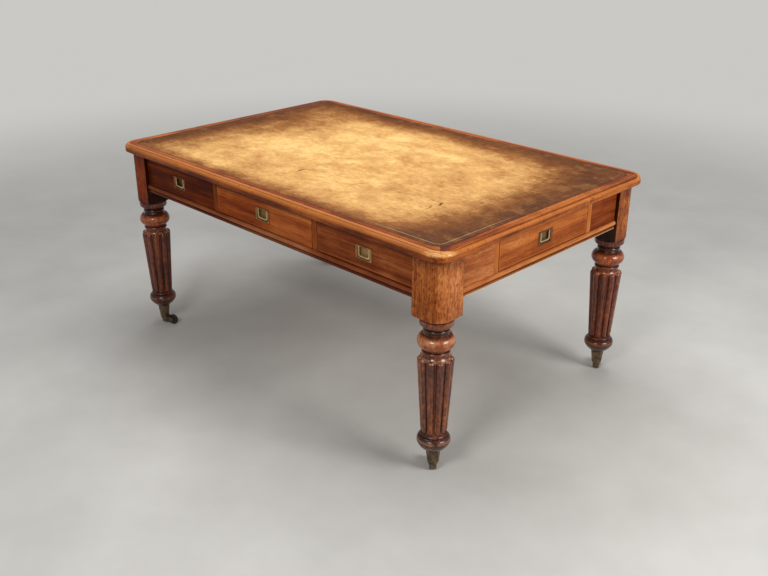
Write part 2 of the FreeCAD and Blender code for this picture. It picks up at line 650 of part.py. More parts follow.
def make_reeds(body, angle):
    """Domed reeds on the taper: one is turned about its own leaning axis, then patterned."""
    run = "(Places.reed_top - Places.reed_bottom)"
    spread = "(Sizes.reed_top_out - Sizes.reed_bottom_out)"
    length = f"sqrt({run} * {run} + {spread} * {spread})"
    half = outline(body, "reed_outline", "XZ_Plane", [
        ("0", "-Sizes.reed_bottom_radius"),
        ("Sizes.reed_bottom_radius", "0", f"{QUARTER_SWELL} * Sizes.reed_bottom_radius"),
        ("Sizes.reed_top_radius", length),
        ("0", f"{length} + Sizes.reed_top_radius", f"{QUARTER_SWELL} * Sizes.reed_top_radius"),
    ])
    half.AttachmentSupport = [(upright_plane(body, "reed_plane", angle), "")]
    leaning = FreeCAD.Rotation(FreeCAD.Vector(0, 0, 1), -1)
    half.AttachmentOffset = FreeCAD.Placement(FreeCAD.Vector(), leaning)
    bind(half, Offset_x="Sizes.reed_bottom_out", Offset_y="Places.reed_bottom",
         Offset_angle=f"-atan2({spread}; {run})")
    reed = turn_profile(body, "Revolution", "reed", half)
    pattern = body.newObject("PartDesign::PolarPattern", "reeds")
    pattern.Originals = [reed]
    pattern.Axis = (origin_feature(body, "Z_Axis"), [""])
    pattern.Angle = 360
    bind(pattern, Occurrences="Sizes.reed_count")
    body.Tip = pattern


def cut_mortises(body):
    """Mortises for the tenons of the lower and upper rails, on the two inner faces."""
    near = "Places.post_half - Sizes.frieze_setback - Sizes.tenon_setback - Sizes.tenon_thickness"
    across = (near, "Sizes.tenon_thickness")
    across_mirrored = (f"-({near}) - Sizes.tenon_thickness", "Sizes.tenon_thickness")
    into_x = ("-Places.post_half", "Sizes.tenon_length")
    into_y = ("Places.post_half - Sizes.tenon_length", "Sizes.tenon_length")
    for level in ("lower", "upper"):
        block(body, "Subtractive", f"{level}_long_mortise", into_x, across_mirrored,
              TENON_HEIGHTS[level])
        block(body, "Subtractive", f"{level}_end_mortise", across, into_y, TENON_HEIGHTS[level])


def make_leg(corner):
    """A leg with its axis upright: block with mortises, turning and reeds, hole for the pintle."""
    sign_x, sign_y, turn = CORNERS[corner]
    body = make_body(f"leg_{corner}")
    half = "Places.post_half"
    radius = "Sizes.post_corner_radius"
    head = outline(body, "block_outline", "XY_Plane", [
        (half, f"-{half} + {radius}", f"{QUARTER_SWELL} * {radius}"),
        (half, half),
        (f"-{half}", half),
        (f"-{half}", f"-{half}"),
        (f"{half} - {radius}", f"-{half}"),
    ])
    bind(head, Offset_z="Places.post_bottom")
    pad(body, "block", head, "Places.frame_top - Places.post_bottom")
    shoulder = outline(body, "shoulder_outline", "XZ_Plane", [
        (half, "Places.post_bottom - Sizes.cut_margin"),
        (f"{half} + Sizes.post_chamfer_reach", "Places.post_bottom - Sizes.cut_margin"),
        (f"{half} + Sizes.post_chamfer_reach", "Places.post_bottom + Sizes.post_chamfer_rise"),
        (half, "Places.post_bottom"),
    ])
    turn_profile(body, "Groove", "turned_shoulder", shoulder)
    profile = outline(body, "turned_outline", "XZ_Plane", LEG_PROFILE)
    turn_profile(body, "Revolution", "turning", profile)
    make_reeds(body, f"Sizes.{corner}_reed_angle")
    cut_mortises(body)
    rod(body, "Subtractive", "pintle_hole", UPRIGHT, ("0", "0", "0"),
        "Sizes.pintle_radius + Sizes.pintle_hole_gap", "Places.pintle_hole_top")
    body.Placement = FreeCAD.Placement(FreeCAD.Vector(), FreeCAD.Rotation(turn, 0, 0))
    bind(body, Base_x=f"{sign_x} * Places.leg_x", Base_y=f"{sign_y} * Places.leg_y")
    return body


# ----------------------------------------------------------------------------------------------
# Carcase: rails, dividers, panels, partitions, runners
# ----------------------------------------------------------------------------------------------
FULL_HEIGHT = ("Places.rail_bottom", "Places.frame_top - Places.rail_bottom")
OPENING_HEIGHT = ("Places.opening_floor", "Places.opening_height")
UPPER_RAIL_HEIGHT = ("Places.opening_ceiling", "Sizes.upper_rail_height")
RUNNER_HEIGHT = ("Places.opening_floor - Sizes.runner_height", "Sizes.runner_height")


def centred(half):
    """Start and size of a stretch about the middle."""
    return f"-({half})", f"2 * ({half})"


def make_rail(name, level, long_side, turn):
    """A rail between two legs; it is made as a front rail and turned to its side of the desk."""
    face = "Places.frieze_y" if long_side else "Places.frieze_x"
    half = "Places.post_inner_x" if long_side else "Places.post_inner_y"
    body = make_body(name)
    bottom = "Places.rail_bottom" if level == "lower" else "Places.opening_ceiling"
    height = "Sizes.lower_rail_height" if level == "lower" else "Sizes.upper_rail_height"
    front = [(f"-{face}", bottom)]
    if level == "lower":
        strip = f"-{face} - Sizes.rail_fillet_reach"
        strip_top = f"{bottom} + Sizes.rail_fillet_height"
        front = [
            (f"-{face}", f"{bottom} + {height} - Sizes.rail_bead_height", "Sizes.rail_bead_swell"),
            (f"-{face}", strip_top),
            (strip, strip_top),
            (strip, bottom),
        ]
    section = outline(body, "section", "YZ_Plane", front + [
        (f"-{face} + Sizes.rail_depth", bottom),
        (f"-{face} + Sizes.rail_depth", f"{bottom} + {height}"),
        (f"-{face}", f"{bottom} + {height}"),
    ])
    pad(body, "rail", section, f"2 * {half}", both_ways=True)
    block(body, "Additive", "tenons", centred(f"{half} + Sizes.tenon_length"),
          (f"-{face} + Sizes.tenon_setback", "Sizes.tenon_thickness"), TENON_HEIGHTS[level])
    body.Placement = FreeCAD.Placement(FreeCAD.Vector(), FreeCAD.Rotation(turn, 0, 0))
    return body


def make_rails():
    """Lower and upper rails of all four sides."""
    long_turns = (("front", 0), ("back", 180))
    end_turns = (("right", 90), ("left", -90))
    lower_long = [make_rail(f"lower_rail_{n}", "lower", True, turn) for n, turn in long_turns]
    lower_end = [make_rail(f"lower_rail_{n}", "lower", False, turn) for n, turn in end_turns]
    upper = [make_rail(f"upper_rail_{n}", "upper", True, turn) for n, turn in long_turns]
    upper += [make_rail(f"upper_rail_{n}", "upper", False, turn) for n, turn in end_turns]
    return [
        group("lower_rails_long_sides", lower_long),
        group("lower_rails_ends", lower_end),
        group("upper_rails", upper),
    ]


def make_dividers():
    """Uprights between the openings, flush with the frieze."""
    members = []
    for sx in SIDES:
        for sy in SIDES:
            members.append(board("long_side_divider",
                                 side_span(sx, "Places.centre_edge", "Places.cross_outer"),
                                 side_span(sy, "Places.rail_back_y", "Places.frieze_y"),
                                 OPENING_HEIGHT))
            members.append(board("end_divider",
                                 side_span(sx, "Places.rail_back_x", "Places.frieze_x"),
                                 side_span(sy, "Places.end_edge", "Places.side_outer"),
                                 OPENING_HEIGHT))
    return group("drawer_dividers", members)


def make_end_panels():
    """Fixed panels between the end dividers and the legs."""
    inner = "Places.frieze_x - Sizes.end_panel_thickness"
    members = [board("end_panel",
                     side_span(sx, inner, "Places.frieze_x"),
                     side_span(sy, "Places.side_outer", "Places.post_inner_y"),
                     OPENING_HEIGHT)
               for sx in SIDES for sy in SIDES]
    return group("end_panels", members)


def make_partitions():
    """Partitions across the desk, and shorter ones beside the end drawers."""
    cross = [board("cross_partition",
                   side_span(sx, "Places.centre_edge", "Places.cross_outer"),
                   centred("Places.rail_back_y"), FULL_HEIGHT)
             for sx in SIDES]
    side = [board("side_partition",
                  side_span(sx, "Places.cross_outer", "Places.rail_back_x"),
                  side_span(sy, "Places.end_edge", "Places.side_outer"), FULL_HEIGHT)
            for sx in SIDES for sy in SIDES]
    return [group("cross_partitions", cross), group("side_partitions", side)]


def runner_bars(name, z_span):
    """Bars along both sides of every opening, for the runners below and the kickers above."""
    bars = []
    behind_rail_y = ("Places.side_outer", "Places.rail_back_y")
    for sx in SIDES:
        bars.append(board(name, side_span(sx, "Places.centre_edge - Sizes.runner_width",
                                          "Places.centre_edge"),
                          centred("Places.rail_back_y"), z_span))
        for sy in SIDES:
            bars.append(board(name, side_span(sx, "Places.cross_outer",
                                              "Places.cross_outer + Sizes.runner_width"),
                              side_span(sy, *behind_rail_y), z_span))
            bars.append(board(name, side_span(sx, "Places.post_inner_x - Sizes.runner_width",
                                              "Places.post_inner_x"),
                              side_span(sy, *behind_rail_y), z_span))
            bars.append(board(name, side_span(sx, "Places.cross_outer", "Places.rail_back_x"),
                              side_span(sy, "Places.end_edge - Sizes.runner_width",
                                        "Places.end_edge"), z_span))
    return bars


def make_guides():
    """Guides that keep the outer drawers straight where the leg's block ends."""
    return [board("drawer_guide",
                  side_span(sx, "Places.post_inner_x",
                            "Places.post_inner_x + Sizes.guide_width"),
                  side_span(sy, "Places.side_outer", "Places.post_inner_y"),
                  ("Places.opening_floor - Sizes.runner_height", "Sizes.guide_height"))
            for sx in SIDES for sy in SIDES]


def make_glue_blocks():
    """Blocks glued in the corner between the upper rails and the panel of the top."""
    height = ("Places.frame_top - Sizes.glue_block_side", "Sizes.glue_block_side")
    members = []
    for sy in SIDES:
        behind = side_span(sy, "Places.rail_back_y - Sizes.glue_block_side",
                           "Places.rail_back_y")
        for middle in ("-Places.outer_centre", "0", "Places.outer_centre"):
            start = (f"{middle} - Sizes.glue_block_length / 2", "Sizes.glue_block_length")
            members.append(board("glue_block", start, behind, height))
    for sx in SIDES:
        behind = side_span(sx, "Places.rail_back_x - Sizes.glue_block_side",
                           "Places.rail_back_x")
        members.append(board("glue_block", behind,
                             centred("Sizes.glue_block_length / 2"), height))
    return group("top_glue_blocks", members)


# ----------------------------------------------------------------------------------------------
# Drawers: each is made in its own frame, with X across, Y into the desk from the frieze face
# and Z up from the floor of the opening, and placed by the centre of its opening and a turn
# ----------------------------------------------------------------------------------------------
class Drawer:
    """The place of one drawer and the width of its opening, as expressions."""

    def __init__(self, name, centre_x, centre_y, turn, width, depth):
        self.name = name
        self.centre = (centre_x, centre_y)
        self.turn = turn
        self.width = width
        self.depth = depth

    def place(self, thing, local_x="0", local_y="0", local_z="0"):
        """Put a thing at a place in the drawer's frame."""
        turned = FreeCAD.Rotation(self.turn, 0, 0)
        thing.Placement = FreeCAD.Placement(FreeCAD.Vector(), turned)
        cos_turn = f"cos({self.turn} deg)"
        sin_turn = f"sin({self.turn} deg)"
        bind(thing,
             Base_x=f"{self.centre[0]} + {cos_turn} * ({local_x}) - {sin_turn} * ({local_y})",
             Base_y=f"{self.centre[1]} + {sin_turn} * ({local_x}) + {cos_turn} * ({local_y})",
             Base_z=f"Places.opening_floor + ({local_z})")


OUTER = ("Places.outer_opening", "Places.outer_drawer_depth")
MIDDLE = ("Sizes.centre_opening", "Places.centre_drawer_depth")
END = ("Sizes.end_opening", "Places.end_drawer_depth")
DRAWERS = [
    Drawer("front_left", "-Places.outer_centre", "-Places.frieze_y", 0, *OUTER),
    Drawer("front_middle", "0", "-Places.frieze_y", 0, *MIDDLE),
    Drawer("front_right", "Places.outer_centre", "-Places.frieze_y", 0, *OUTER),
    Drawer("back_left", "-Places.outer_centre", "Places.frieze_y", 180, *OUTER),
    Drawer("back_middle", "0", "Places.frieze_y", 180, *MIDDLE),
    Drawer("back_right", "Places.outer_centre", "Places.frieze_y", 180, *OUTER),
    Drawer("right_end", "Places.frieze_x", "0", 90, *END),
    Drawer("left_end", "-Places.frieze_x", "0", -90, *END),
]
HANDLE_RISE = "Places.opening_height / 2"


def make_drawer_front(drawer):
    """The front board, with a pocket for the handle's pan and a groove for the drawer bottom."""
    body = make_body(f"{drawer.name}_drawer_front")
    half = f"{drawer.width} / 2 - Sizes.front_gap"
    block(body, "Additive", "board", centred(half), ("0", "Sizes.front_thickness"),
          ("Sizes.front_gap", "Places.opening_height - 2 * Sizes.front_gap"))
    around = {"plate": "Sizes.plate_thickness - Sizes.plate_stand_out", "pan": "Sizes.pan_depth"}
    for piece, depth in around.items():
        block(body, "Subtractive", f"{piece}_pocket",
              centred(f"Places.{piece}_width / 2 + Sizes.pan_fit"),
              ("0", f"{depth} + Sizes.pan_fit"),
              (f"{HANDLE_RISE} - Places.{piece}_height / 2 - Sizes.pan_fit",
               f"Places.{piece}_height + 2 * Sizes.pan_fit"))
    block(body, "Subtractive", "bottom_groove",
          centred(f"{half} - Sizes.lining_thickness + Sizes.groove_depth"),
          ("Sizes.front_thickness - Sizes.groove_depth", "Sizes.groove_depth"),
          ("Sizes.drawer_bottom_rise", "Sizes.drawer_bottom_thickness"))
    for sx in SIDES:
        for sz in SIDES:
            rod(body, "Subtractive", "pilot_hole", ALONG_Y,
                (f"{sx} * Places.screw_across", "0", f"{HANDLE_RISE} + {sz} * Places.screw_up"),
                "Sizes.screw_shank_radius + Sizes.screw_fit",
                "Sizes.plate_thickness - Sizes.plate_stand_out + Sizes.screw_length")
    drawer.place(body)
    return body


def make_lining(drawer):
    """Two sides, back and bottom; the bottom sits in grooves in the sides and the front."""
    half = f"({drawer.width} / 2 - Sizes.front_gap)"
    inner = f"({half} - Sizes.lining_thickness)"
    name = drawer.name
    length = f"{drawer.depth} - Sizes.front_thickness"
    bottom_depth = f"{length} + Sizes.groove_depth"
    members = []
    for sx in SIDES:
        side = make_body(f"{name}_side")
        block(side, "Additive", "board", side_span(sx, inner, half),
              ("Sizes.front_thickness", length), ("Sizes.lining_rise", "Places.lining_height"))
        block(side, "Subtractive", "groove",
              side_span(sx, inner, f"{inner} + Sizes.groove_depth"),
              ("Sizes.front_thickness", length),
              ("Sizes.drawer_bottom_rise", "Sizes.drawer_bottom_thickness"))
        drawer.place(side)
        members.append(side)
    back = doc.addObject("Part::Box", f"{name}_back")
    bind(back, Length=f"2 * {inner}", Width="Sizes.lining_thickness",
         Height="Places.lining_height - Sizes.back_drop + Sizes.lining_rise "
                "- Sizes.drawer_bottom_rise - Sizes.drawer_bottom_thickness")
    drawer.place(back, f"-{inner}", f"{drawer.depth} - Sizes.lining_thickness",
                 "Sizes.drawer_bottom_rise + Sizes.drawer_bottom_thickness")
    bottom = doc.addObject("Part::Box", f"{name}_bottom")
    bind(bottom, Length=f"2 * ({inner} + Sizes.groove_depth)", Width=bottom_depth,
         Height="Sizes.drawer_bottom_thickness")
    drawer.place(bottom, f"-({inner} + Sizes.groove_depth)",
                 "Sizes.front_thickness - Sizes.groove_depth", "Sizes.drawer_bottom_rise")
    return group(f"{name}_drawer_lining", members + [back, bottom])


def make_stops(drawer):
    """Two small blocks on the lower rail, just behind the drawer front."""
    stops = []
    for sx in SIDES:
        start, size = side_span(sx, f"{drawer.width} / 2 - Sizes.stop_inset - Sizes.stop_width",
                                f"{drawer.width} / 2 - Sizes.stop_inset")
        stop = doc.addObject("Part::Box", f"{drawer.name}_stop")
        bind(stop, Length=size, Width="Sizes.stop_depth", Height="Sizes.stop_height")
        drawer.place(stop, start, "Sizes.front_thickness + Sizes.stop_gap")
        stops.append(stop)
    return stops


def make_handle_plate(drawer):
    """Flange and recessed pan in one casting, with bores for the bail's pins, and four screws."""
    body = make_body(f"{drawer.name}_plate")
    face = "-Sizes.plate_stand_out"
    block(body, "Additive", "flange", centred("Places.plate_width / 2"),
          (face, "Sizes.plate_thickness"), centred("Places.plate_height / 2"))
    fillet_edges(body, "flange_corners", "Sizes.plate_corner_radius", runs_front_to_back)
    block(body, "Additive", "pan", centred("Places.pan_width / 2"), ("0", "Sizes.pan_depth"),
          centred("Places.pan_height / 2"))
    block(body, "Subtractive", "recess", centred("Places.recess_width / 2"),
          (face, "Sizes.plate_stand_out + Sizes.pan_depth - Sizes.pan_floor"),
          centred("Places.recess_height / 2"))
    bore_half = "Sizes.bail_width / 2 + Sizes.bail_pin_length + Sizes.bail_pin_end_gap"
    rod(body, "Subtractive", "pin_bores", ALONG_X,
        (f"-({bore_half})", "Sizes.hinge_depth", "Places.hinge_height"),
        "Sizes.bail_pin_radius + Sizes.bail_pin_fit", f"2 * ({bore_half})")
    screws = []
    for sx in SIDES:
        for sz in SIDES:
            spot = (f"{sx} * Places.screw_across", face, f"{sz} * Places.screw_up")
            sink = body.newObject("PartDesign::SubtractiveCone", "countersink")
            attach(sink, body, "XY_Plane")
            sink.AttachmentOffset = FreeCAD.Placement(FreeCAD.Vector(), ALONG_Y)
            bind(sink, Offset_x=spot[0], Offset_y=spot[1], Offset_z=spot[2],
                 Radius1="Sizes.screw_head_radius + Sizes.screw_fit",
                 Radius2="Sizes.screw_shank_radius + Sizes.screw_fit",
                 Height="Sizes.plate_thickness")
            screws.append(make_screw(drawer, spot))
    drawer.place(body, local_z=HANDLE_RISE)
    return group(f"{drawer.name}_handle_plate", [body] + screws)


def make_screw(drawer, spot):
    """A countersunk screw whose head is flush with the flange."""
    screw = make_body(f"{drawer.name}_plate_screw")
    head = screw.newObject("PartDesign::AdditiveCone", "head")
    attach(head, screw, "XY_Plane")
    head.AttachmentOffset = FreeCAD.Placement(FreeCAD.Vector(), ALONG_Y)
    bind(head, Radius1="Sizes.screw_head_radius", Radius2="Sizes.screw_shank_radius",
         Height="Sizes.plate_thickness")
    rod(screw, "Additive", "shank", ALONG_Y, ("0", "0", "0"), "Sizes.screw_shank_radius",
        "Sizes.plate_thickness + Sizes.screw_length - Sizes.pan_fit")
    drawer.place(screw, spot[0], spot[1], f"{HANDLE_RISE} + {spot[2]}")
    return screw


def make_bail(drawer):
    """The U-shaped handle with its two hinge pins; it hangs in the pan."""
    body = make_body(f"{drawer.name}_handle_bail")
    half = "Sizes.bail_width / 2"
    inner = f"({half} - Sizes.bail_bar)"
    radius = "Sizes.bail_corner_radius"
    inner_radius = f"({radius} - Sizes.bail_bar)"
    low = "(Places.hinge_height - Sizes.bail_drop)"
    inner_low = f"({low} + Sizes.bail_bar)"
    high = "Places.hinge_height + Sizes.bail_head"
    shape = outline(body, "bail_outline", "XZ_Plane", [
        (f"-({half})", high),
        (f"-({half})", f"{low} + {radius}"),
        (f"-({half}) + {radius}", low, f"{QUARTER_SWELL} * {radius}"),
        (f"{half} - {radius}", low),
        (half, f"{low} + {radius}", f"{QUARTER_SWELL} * {radius}"),
        (half, high),
        (inner, high),
        (inner, f"{inner_low} + {inner_radius}"),
        (f"{inner} - {inner_radius}", inner_low, f"-{QUARTER_SWELL} * {inner_radius}"),
        (f"-{inner} + {inner_radius}", inner_low),
        (f"-{inner}", f"{inner_low} + {inner_radius}", f"-{QUARTER_SWELL} * {inner_radius}"),
        (f"-{inner}", high),
    ])
    bind(shape, Offset_z="-Sizes.hinge_depth")
    pad(body, "bar", shape, "Sizes.bail_thickness", both_ways=True)
    fillet_edges(body, "softened_bar", "Sizes.bail_edge_radius",
                 lambda e: lies_across(e) and e.BoundBox.ZMax < value(high) - TOLERANCE)
    for sx in SIDES:
        start = side_span(sx, f"{half} - Sizes.bail_bar / 2", f"{half} + Sizes.bail_pin_length")
        rod(body, "Additive", "hinge_pin", ALONG_X,
            (start[0], "Sizes.hinge_depth", "Places.hinge_height"),
            "Sizes.bail_pin_radius", start[1])
    drawer.place(body, local_z=HANDLE_RISE)
    return body


# ----------------------------------------------------------------------------------------------
# Casters: the cup is fixed on the leg, the horn swivels in it and the wheel turns in the horn
# ----------------------------------------------------------------------------------------------
def place_at_leg(thing, corner, turn=0.0):
    """Put a thing on a leg's axis at the floor, turned about it."""
    sign_x, sign_y, _ = CORNERS[corner]
    thing.Placement = FreeCAD.Placement(FreeCAD.Vector(), FreeCAD.Rotation(turn, 0, 0))
    bind(thing, Base_x=f"{sign_x} * Places.leg_x", Base_y=f"{sign_y} * Places.leg_y")


def make_cup(corner):
    """Tapered brass cup with a beaded rim; its floor carries the swivel pin."""
    body = make_body(f"caster_cup_{corner}")
    rim = "Places.cup_top - Sizes.cup_rim_height"
    bore = "Sizes.pintle_radius + Sizes.pintle_fit"
    section = outline(body, "cup_outline", "XZ_Plane", [
        (bore, "Sizes.cup_bottom"),
        ("Places.cup_bottom_radius", "Sizes.cup_bottom"),
        ("Places.cup_top_radius", rim),
        ("Places.cup_top_radius", "Places.cup_top", "Sizes.cup_rim_stand_out"),
        ("Sizes.spigot_top_radius", "Places.cup_top"),
        ("Sizes.spigot_bottom_radius", "Places.foot_bottom"),
        (bore, "Places.foot_bottom"),
    ])
    turn_profile(body, "Revolution", "cup", section)
    place_at_leg(body, corner)
    return body


def make_horn(corner):
    """The swivelling horn: round head with its pin, two cheeks, and the riveted axle pin."""
    body = make_body(f"horn_{corner}")
    hub_top = "(Sizes.cup_bottom - Sizes.thrust_gap)"
    hub_bottom = f"({hub_top} - Sizes.hub_height)"
    boss = "Sizes.axle_boss_radius"
    axle = ("Sizes.wheel_trail", "Sizes.wheel_radius")
    cheek = outline(body, "cheek_outline", "XZ_Plane", [
        ("-Sizes.horn_toe_reach", hub_bottom),
        ("-Sizes.horn_tip_reach", "Sizes.horn_tip_height", "-Sizes.horn_tip_swell"),
        ("Sizes.horn_tip_reach", "Sizes.horn_tip_height", "Sizes.horn_tip_swell"),
        (f"{axle[0]} - {boss} * 0.5", f"{axle[1]} - {boss} * sqrt(0.75)"),
        (f"{axle[0]} + {boss}", axle[1], f"{boss} * (1 - cos(30 deg))"),
        (axle[0], f"{axle[1]} + {boss}", f"{boss} * {QUARTER_SWELL}"),
        ("Sizes.hub_radius", hub_bottom),
        ("Sizes.hub_radius * 0.5", f"{hub_bottom} + Sizes.hub_height / 2"),
        ("-Sizes.hub_radius * 0.5", f"{hub_bottom} + Sizes.hub_height / 2"),
    ])
    pad(body, "cheeks", cheek, "Places.horn_width", both_ways=True)
    rod(body, "Additive", "head", UPRIGHT, ("0", "0", hub_bottom), "Sizes.hub_radius",
        "Sizes.hub_height")
    rod(body, "Additive", "pintle", UPRIGHT, ("0", "0", hub_bottom), "Sizes.pintle_radius",
        f"Places.pintle_top - {hub_bottom}")
    rod(body, "Subtractive", "slot", ALONG_Y, (axle[0], "-Places.wheel_slot / 2", axle[1]),
        "Sizes.wheel_radius + Sizes.wheel_clearance", "Places.wheel_slot")
    rod(body, "Subtractive", "axle_bore", ALONG_Y, (axle[0], "-Places.horn_width", axle[1]),
        "Sizes.axle_radius + Sizes.axle_fit", "2 * Places.horn_width")
    turn = value(f"Sizes.{corner}_trail_angle")
    place_at_leg(body, corner, turn)
    pin = make_body(f"axle_pin_{corner}")
    rod(pin, "Additive", "pin", ALONG_Y, (axle[0], "-Places.horn_width / 2", axle[1]),
        "Sizes.axle_radius", "Places.horn_width")
    for sy in SIDES:
        start, size = side_span(sy, "Places.horn_width / 2",
                                "Places.horn_width / 2 + Sizes.axle_head_height")
        rod(pin, "Additive", "rivet_head", ALONG_Y, (axle[0], start, axle[1]),
            "Sizes.axle_head_radius", size)
    place_at_leg(pin, corner, turn)
    return group(f"caster_horn_{corner}", [body, pin])


def make_wheel(corner):
    """A solid wheel with rounded treads and dished faces, turned about its own axis."""
    body = make_body(f"caster_wheel_{corner}")
    half = "Sizes.wheel_width / 2"
    radius = "Sizes.wheel_radius"
    edge = "Sizes.wheel_edge_radius"
    bore = "Sizes.axle_radius + Sizes.axle_fit"
    dish = f"({half} - Sizes.wheel_dish_depth)"
    dish_radius = f"{radius} - Sizes.wheel_rim_width"
    swell = f"{QUARTER_SWELL} * {edge}"
    section = outline(body, "wheel_outline", "XZ_Plane", [
        (bore, f"-{half}"),
        ("Sizes.wheel_boss_radius", f"-{half}"),
        ("Sizes.wheel_boss_radius", f"-{dish}"),
        (dish_radius, f"-{dish}"),
        (dish_radius, f"-{half}"),
        (f"{radius} - {edge}", f"-{half}"),
        (radius, f"-{half} + {edge}", swell),
        (radius, f"{half} - {edge}"),
        (f"{radius} - {edge}", half, swell),
        (dish_radius, half),
        (dish_radius, dish),
        ("Sizes.wheel_boss_radius", dish),
        ("Sizes.wheel_boss_radius", half),
        (bore, half),
    ])
    turn_profile(body, "Revolution", "wheel", section)
    sign_x, sign_y, _ = CORNERS[corner]
    angle = f"Sizes.{corner}_trail_angle"
    facing = FreeCAD.Rotation(value(angle), 0, 0).multiply(ALONG_Y)
    body.Placement = FreeCAD.Placement(FreeCAD.Vector(), facing)
    bind(body,
         Base_x=f"{sign_x} * Places.leg_x + Sizes.wheel_trail * cos({angle} * 1 deg)",
         Base_y=f"{sign_y} * Places.leg_y + Sizes.wheel_trail * sin({angle} * 1 deg)",
         Base_z="Sizes.wheel_radius")
    return body


# ----------------------------------------------------------------------------------------------
# The whole desk
# ----------------------------------------------------------------------------------------------
def make_desk():
    """Every node of the desk, in the order of the sections above."""
    nodes = [make_leg(corner) for corner in CORNERS]
    nodes += make_top()
    nodes += make_rails()
    nodes += [make_dividers(), make_end_panels()]
    nodes += make_partitions()
    nodes.append(group("drawer_runners", runner_bars("runner", RUNNER_HEIGHT) + make_guides()))
    nodes.append(group("drawer_kickers", runner_bars("kicker", UPPER_RAIL_HEIGHT)))
    nodes.append(make_glue_blocks())
    stops = [stop for drawer in DRAWERS for stop in make_stops(drawer)]
    nodes.append(group("drawer_stops", stops))
    for drawer in DRAWERS:
        nodes += [make_drawer_front(drawer), make_lining(drawer),
                  make_handle_plate(drawer), make_bail(drawer)]
    nodes.append(group("caster_cups", [make_cup(corner) for corner in CORNERS]))
    for corner in CORNERS:
        nodes += [make_horn(corner), make_wheel(corner)]
    return nodes


def check(nodes):
    """Stop before anything is written when an object has failed or a shape is unsound."""
    failed = [thing.Label for thing in doc.Objects
              if "Invalid" in thing.State or "Error" in thing.State]
    unsound = [node.Label for node in nodes
               if node.Shape.isNull() or not node.Shape.isValid() or not node.Shape.Solids]
    broken = [thing.Label for thing in doc.Objects
              if thing.TypeId == "PartDesign::Body" and len(thing.Shape.Solids) != 1]
    if failed or unsound or broken:
        raise RuntimeError(f"failed: {failed}; unsound: {unsound}; not one solid: {broken}")


desk_nodes = make_desk()
doc.recompute()
check(desk_nodes)
os.makedirs("parts", exist_ok=True)
for node in desk_nodes:
    node.Shape.exportStep(os.path.join("parts", f"{node.Label}.step"))
print(f"{len(desk_nodes)} nodes written")
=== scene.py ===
import json
import math

import bmesh
import bpy
from mathutils import Matrix, Vector


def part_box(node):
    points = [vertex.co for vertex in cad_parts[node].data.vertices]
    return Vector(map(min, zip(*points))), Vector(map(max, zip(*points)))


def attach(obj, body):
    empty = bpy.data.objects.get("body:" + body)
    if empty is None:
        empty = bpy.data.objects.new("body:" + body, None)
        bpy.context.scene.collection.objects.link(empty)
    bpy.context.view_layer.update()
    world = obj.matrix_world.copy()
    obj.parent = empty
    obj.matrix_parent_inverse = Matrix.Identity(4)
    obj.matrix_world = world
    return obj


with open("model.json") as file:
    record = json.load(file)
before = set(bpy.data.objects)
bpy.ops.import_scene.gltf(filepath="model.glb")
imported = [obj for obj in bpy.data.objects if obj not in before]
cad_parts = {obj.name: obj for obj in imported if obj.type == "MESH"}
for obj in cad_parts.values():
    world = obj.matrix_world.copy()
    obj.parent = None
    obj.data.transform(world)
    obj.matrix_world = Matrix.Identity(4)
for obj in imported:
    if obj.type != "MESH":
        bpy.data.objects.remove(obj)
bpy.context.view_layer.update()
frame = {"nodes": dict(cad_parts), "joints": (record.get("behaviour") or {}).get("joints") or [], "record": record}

# ---------------------------------------------------------------------------
# Places and sizes, in metres. The origin is on the floor under the middle of the top, X runs
# along the long sides and the front long side faces -Y.
# ---------------------------------------------------------------------------
NODES = frame["nodes"]
SLOT_OF = {part["node"]: part["material_slot"] for part in frame["record"]["subparts"]}
SLIDES = {joint["child"]: joint for joint in frame["joints"] if joint["type"] == "slide"}
DRAWERS = sorted(body[: -len("_drawer")] for body in SLIDES)

leather_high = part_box("top_leather")[1]
LEATHER_HALF = (leather_high.x, leather_high.y)
LEATHER_CORNER = 0.045
end_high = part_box("top_border_ends")[1]
TOP_HALF = (end_high.x, end_high.y)
TOP_CORNER = 0.055
POST_INNER = (0.6925, 0.4075)
FRIEZE = (0.785, 0.500)
SIDE_LINE = 0.72

# Where the marks of use and the painted light and shade lie. Two numbers are where a mark starts and
# where it is full, four are where it starts, is full, fades and ends.
# On the border of the top, in from its edge unless the name says otherwise:
THUMB_MOULDING = (0.0060, 0.0030)
THUMB_HEIGHT = (0.746, 0.753)
# Painted shade in the quirk:
QUIRK = (0.0062, 0.0072, 0.0088, 0.0104)
LEATHER_JOINT = (0.0368, 0.0395)
END_MEMBER_X = (TOP_HALF[0] - 0.050, TOP_HALF[0] - 0.030)
# Where the painted highlight at the thumb moulding's right front corner lies:
CORNER_X_PLUS_Y = (1.275, 1.310)
RIGHT_FRONT_X_MINUS_Y = (0.60, 1.20)
# On the lower rails, heights: the bead, painted as lit, the strip under it, with painted shade, and the lower
# edge, with a painted highlight on the end rails:
BEAD_FOOT, BEAD_HEAD = (0.5995, 0.6030), (0.6150, 0.6120)
STRIP_HEAD = (0.5975, 0.5965)
RAIL_FOOT = (0.5910, 0.5885)
# On the legs, heights:
SQUARE_FOOT = (0.535 - 0.0010, 0.535 + 0.0005)
# A painted shadow of the top on the posts, and where the posts darken towards the foot:
UNDER_TOP = (0.672, 0.716)
POST_END = (0.600, 0.545)
# Painted shade in the neck:
NECK = (0.478, 0.484, 0.500, 0.506)
BUN = (0.432, 0.446, 0.472, 0.482)
# Crests that carry painted highlights:
BUN_CREST = (0.456, 0.466, 0.472, 0.479)
RING_CREST = (0.398, 0.402, 0.406, 0.409)
LOWER_BUN_CREST = (0.117, 0.121, 0.125, 0.129)
LOWER_BUN_HEAD = (0.152, 0.140)
# On the legs, across the desk:
POST_OUTSIDE_X = (0.772, 0.796)
LEFT_LEGS_X = (-0.60, -0.70)
FAR_LEGS_Y = (0.3, 0.4)
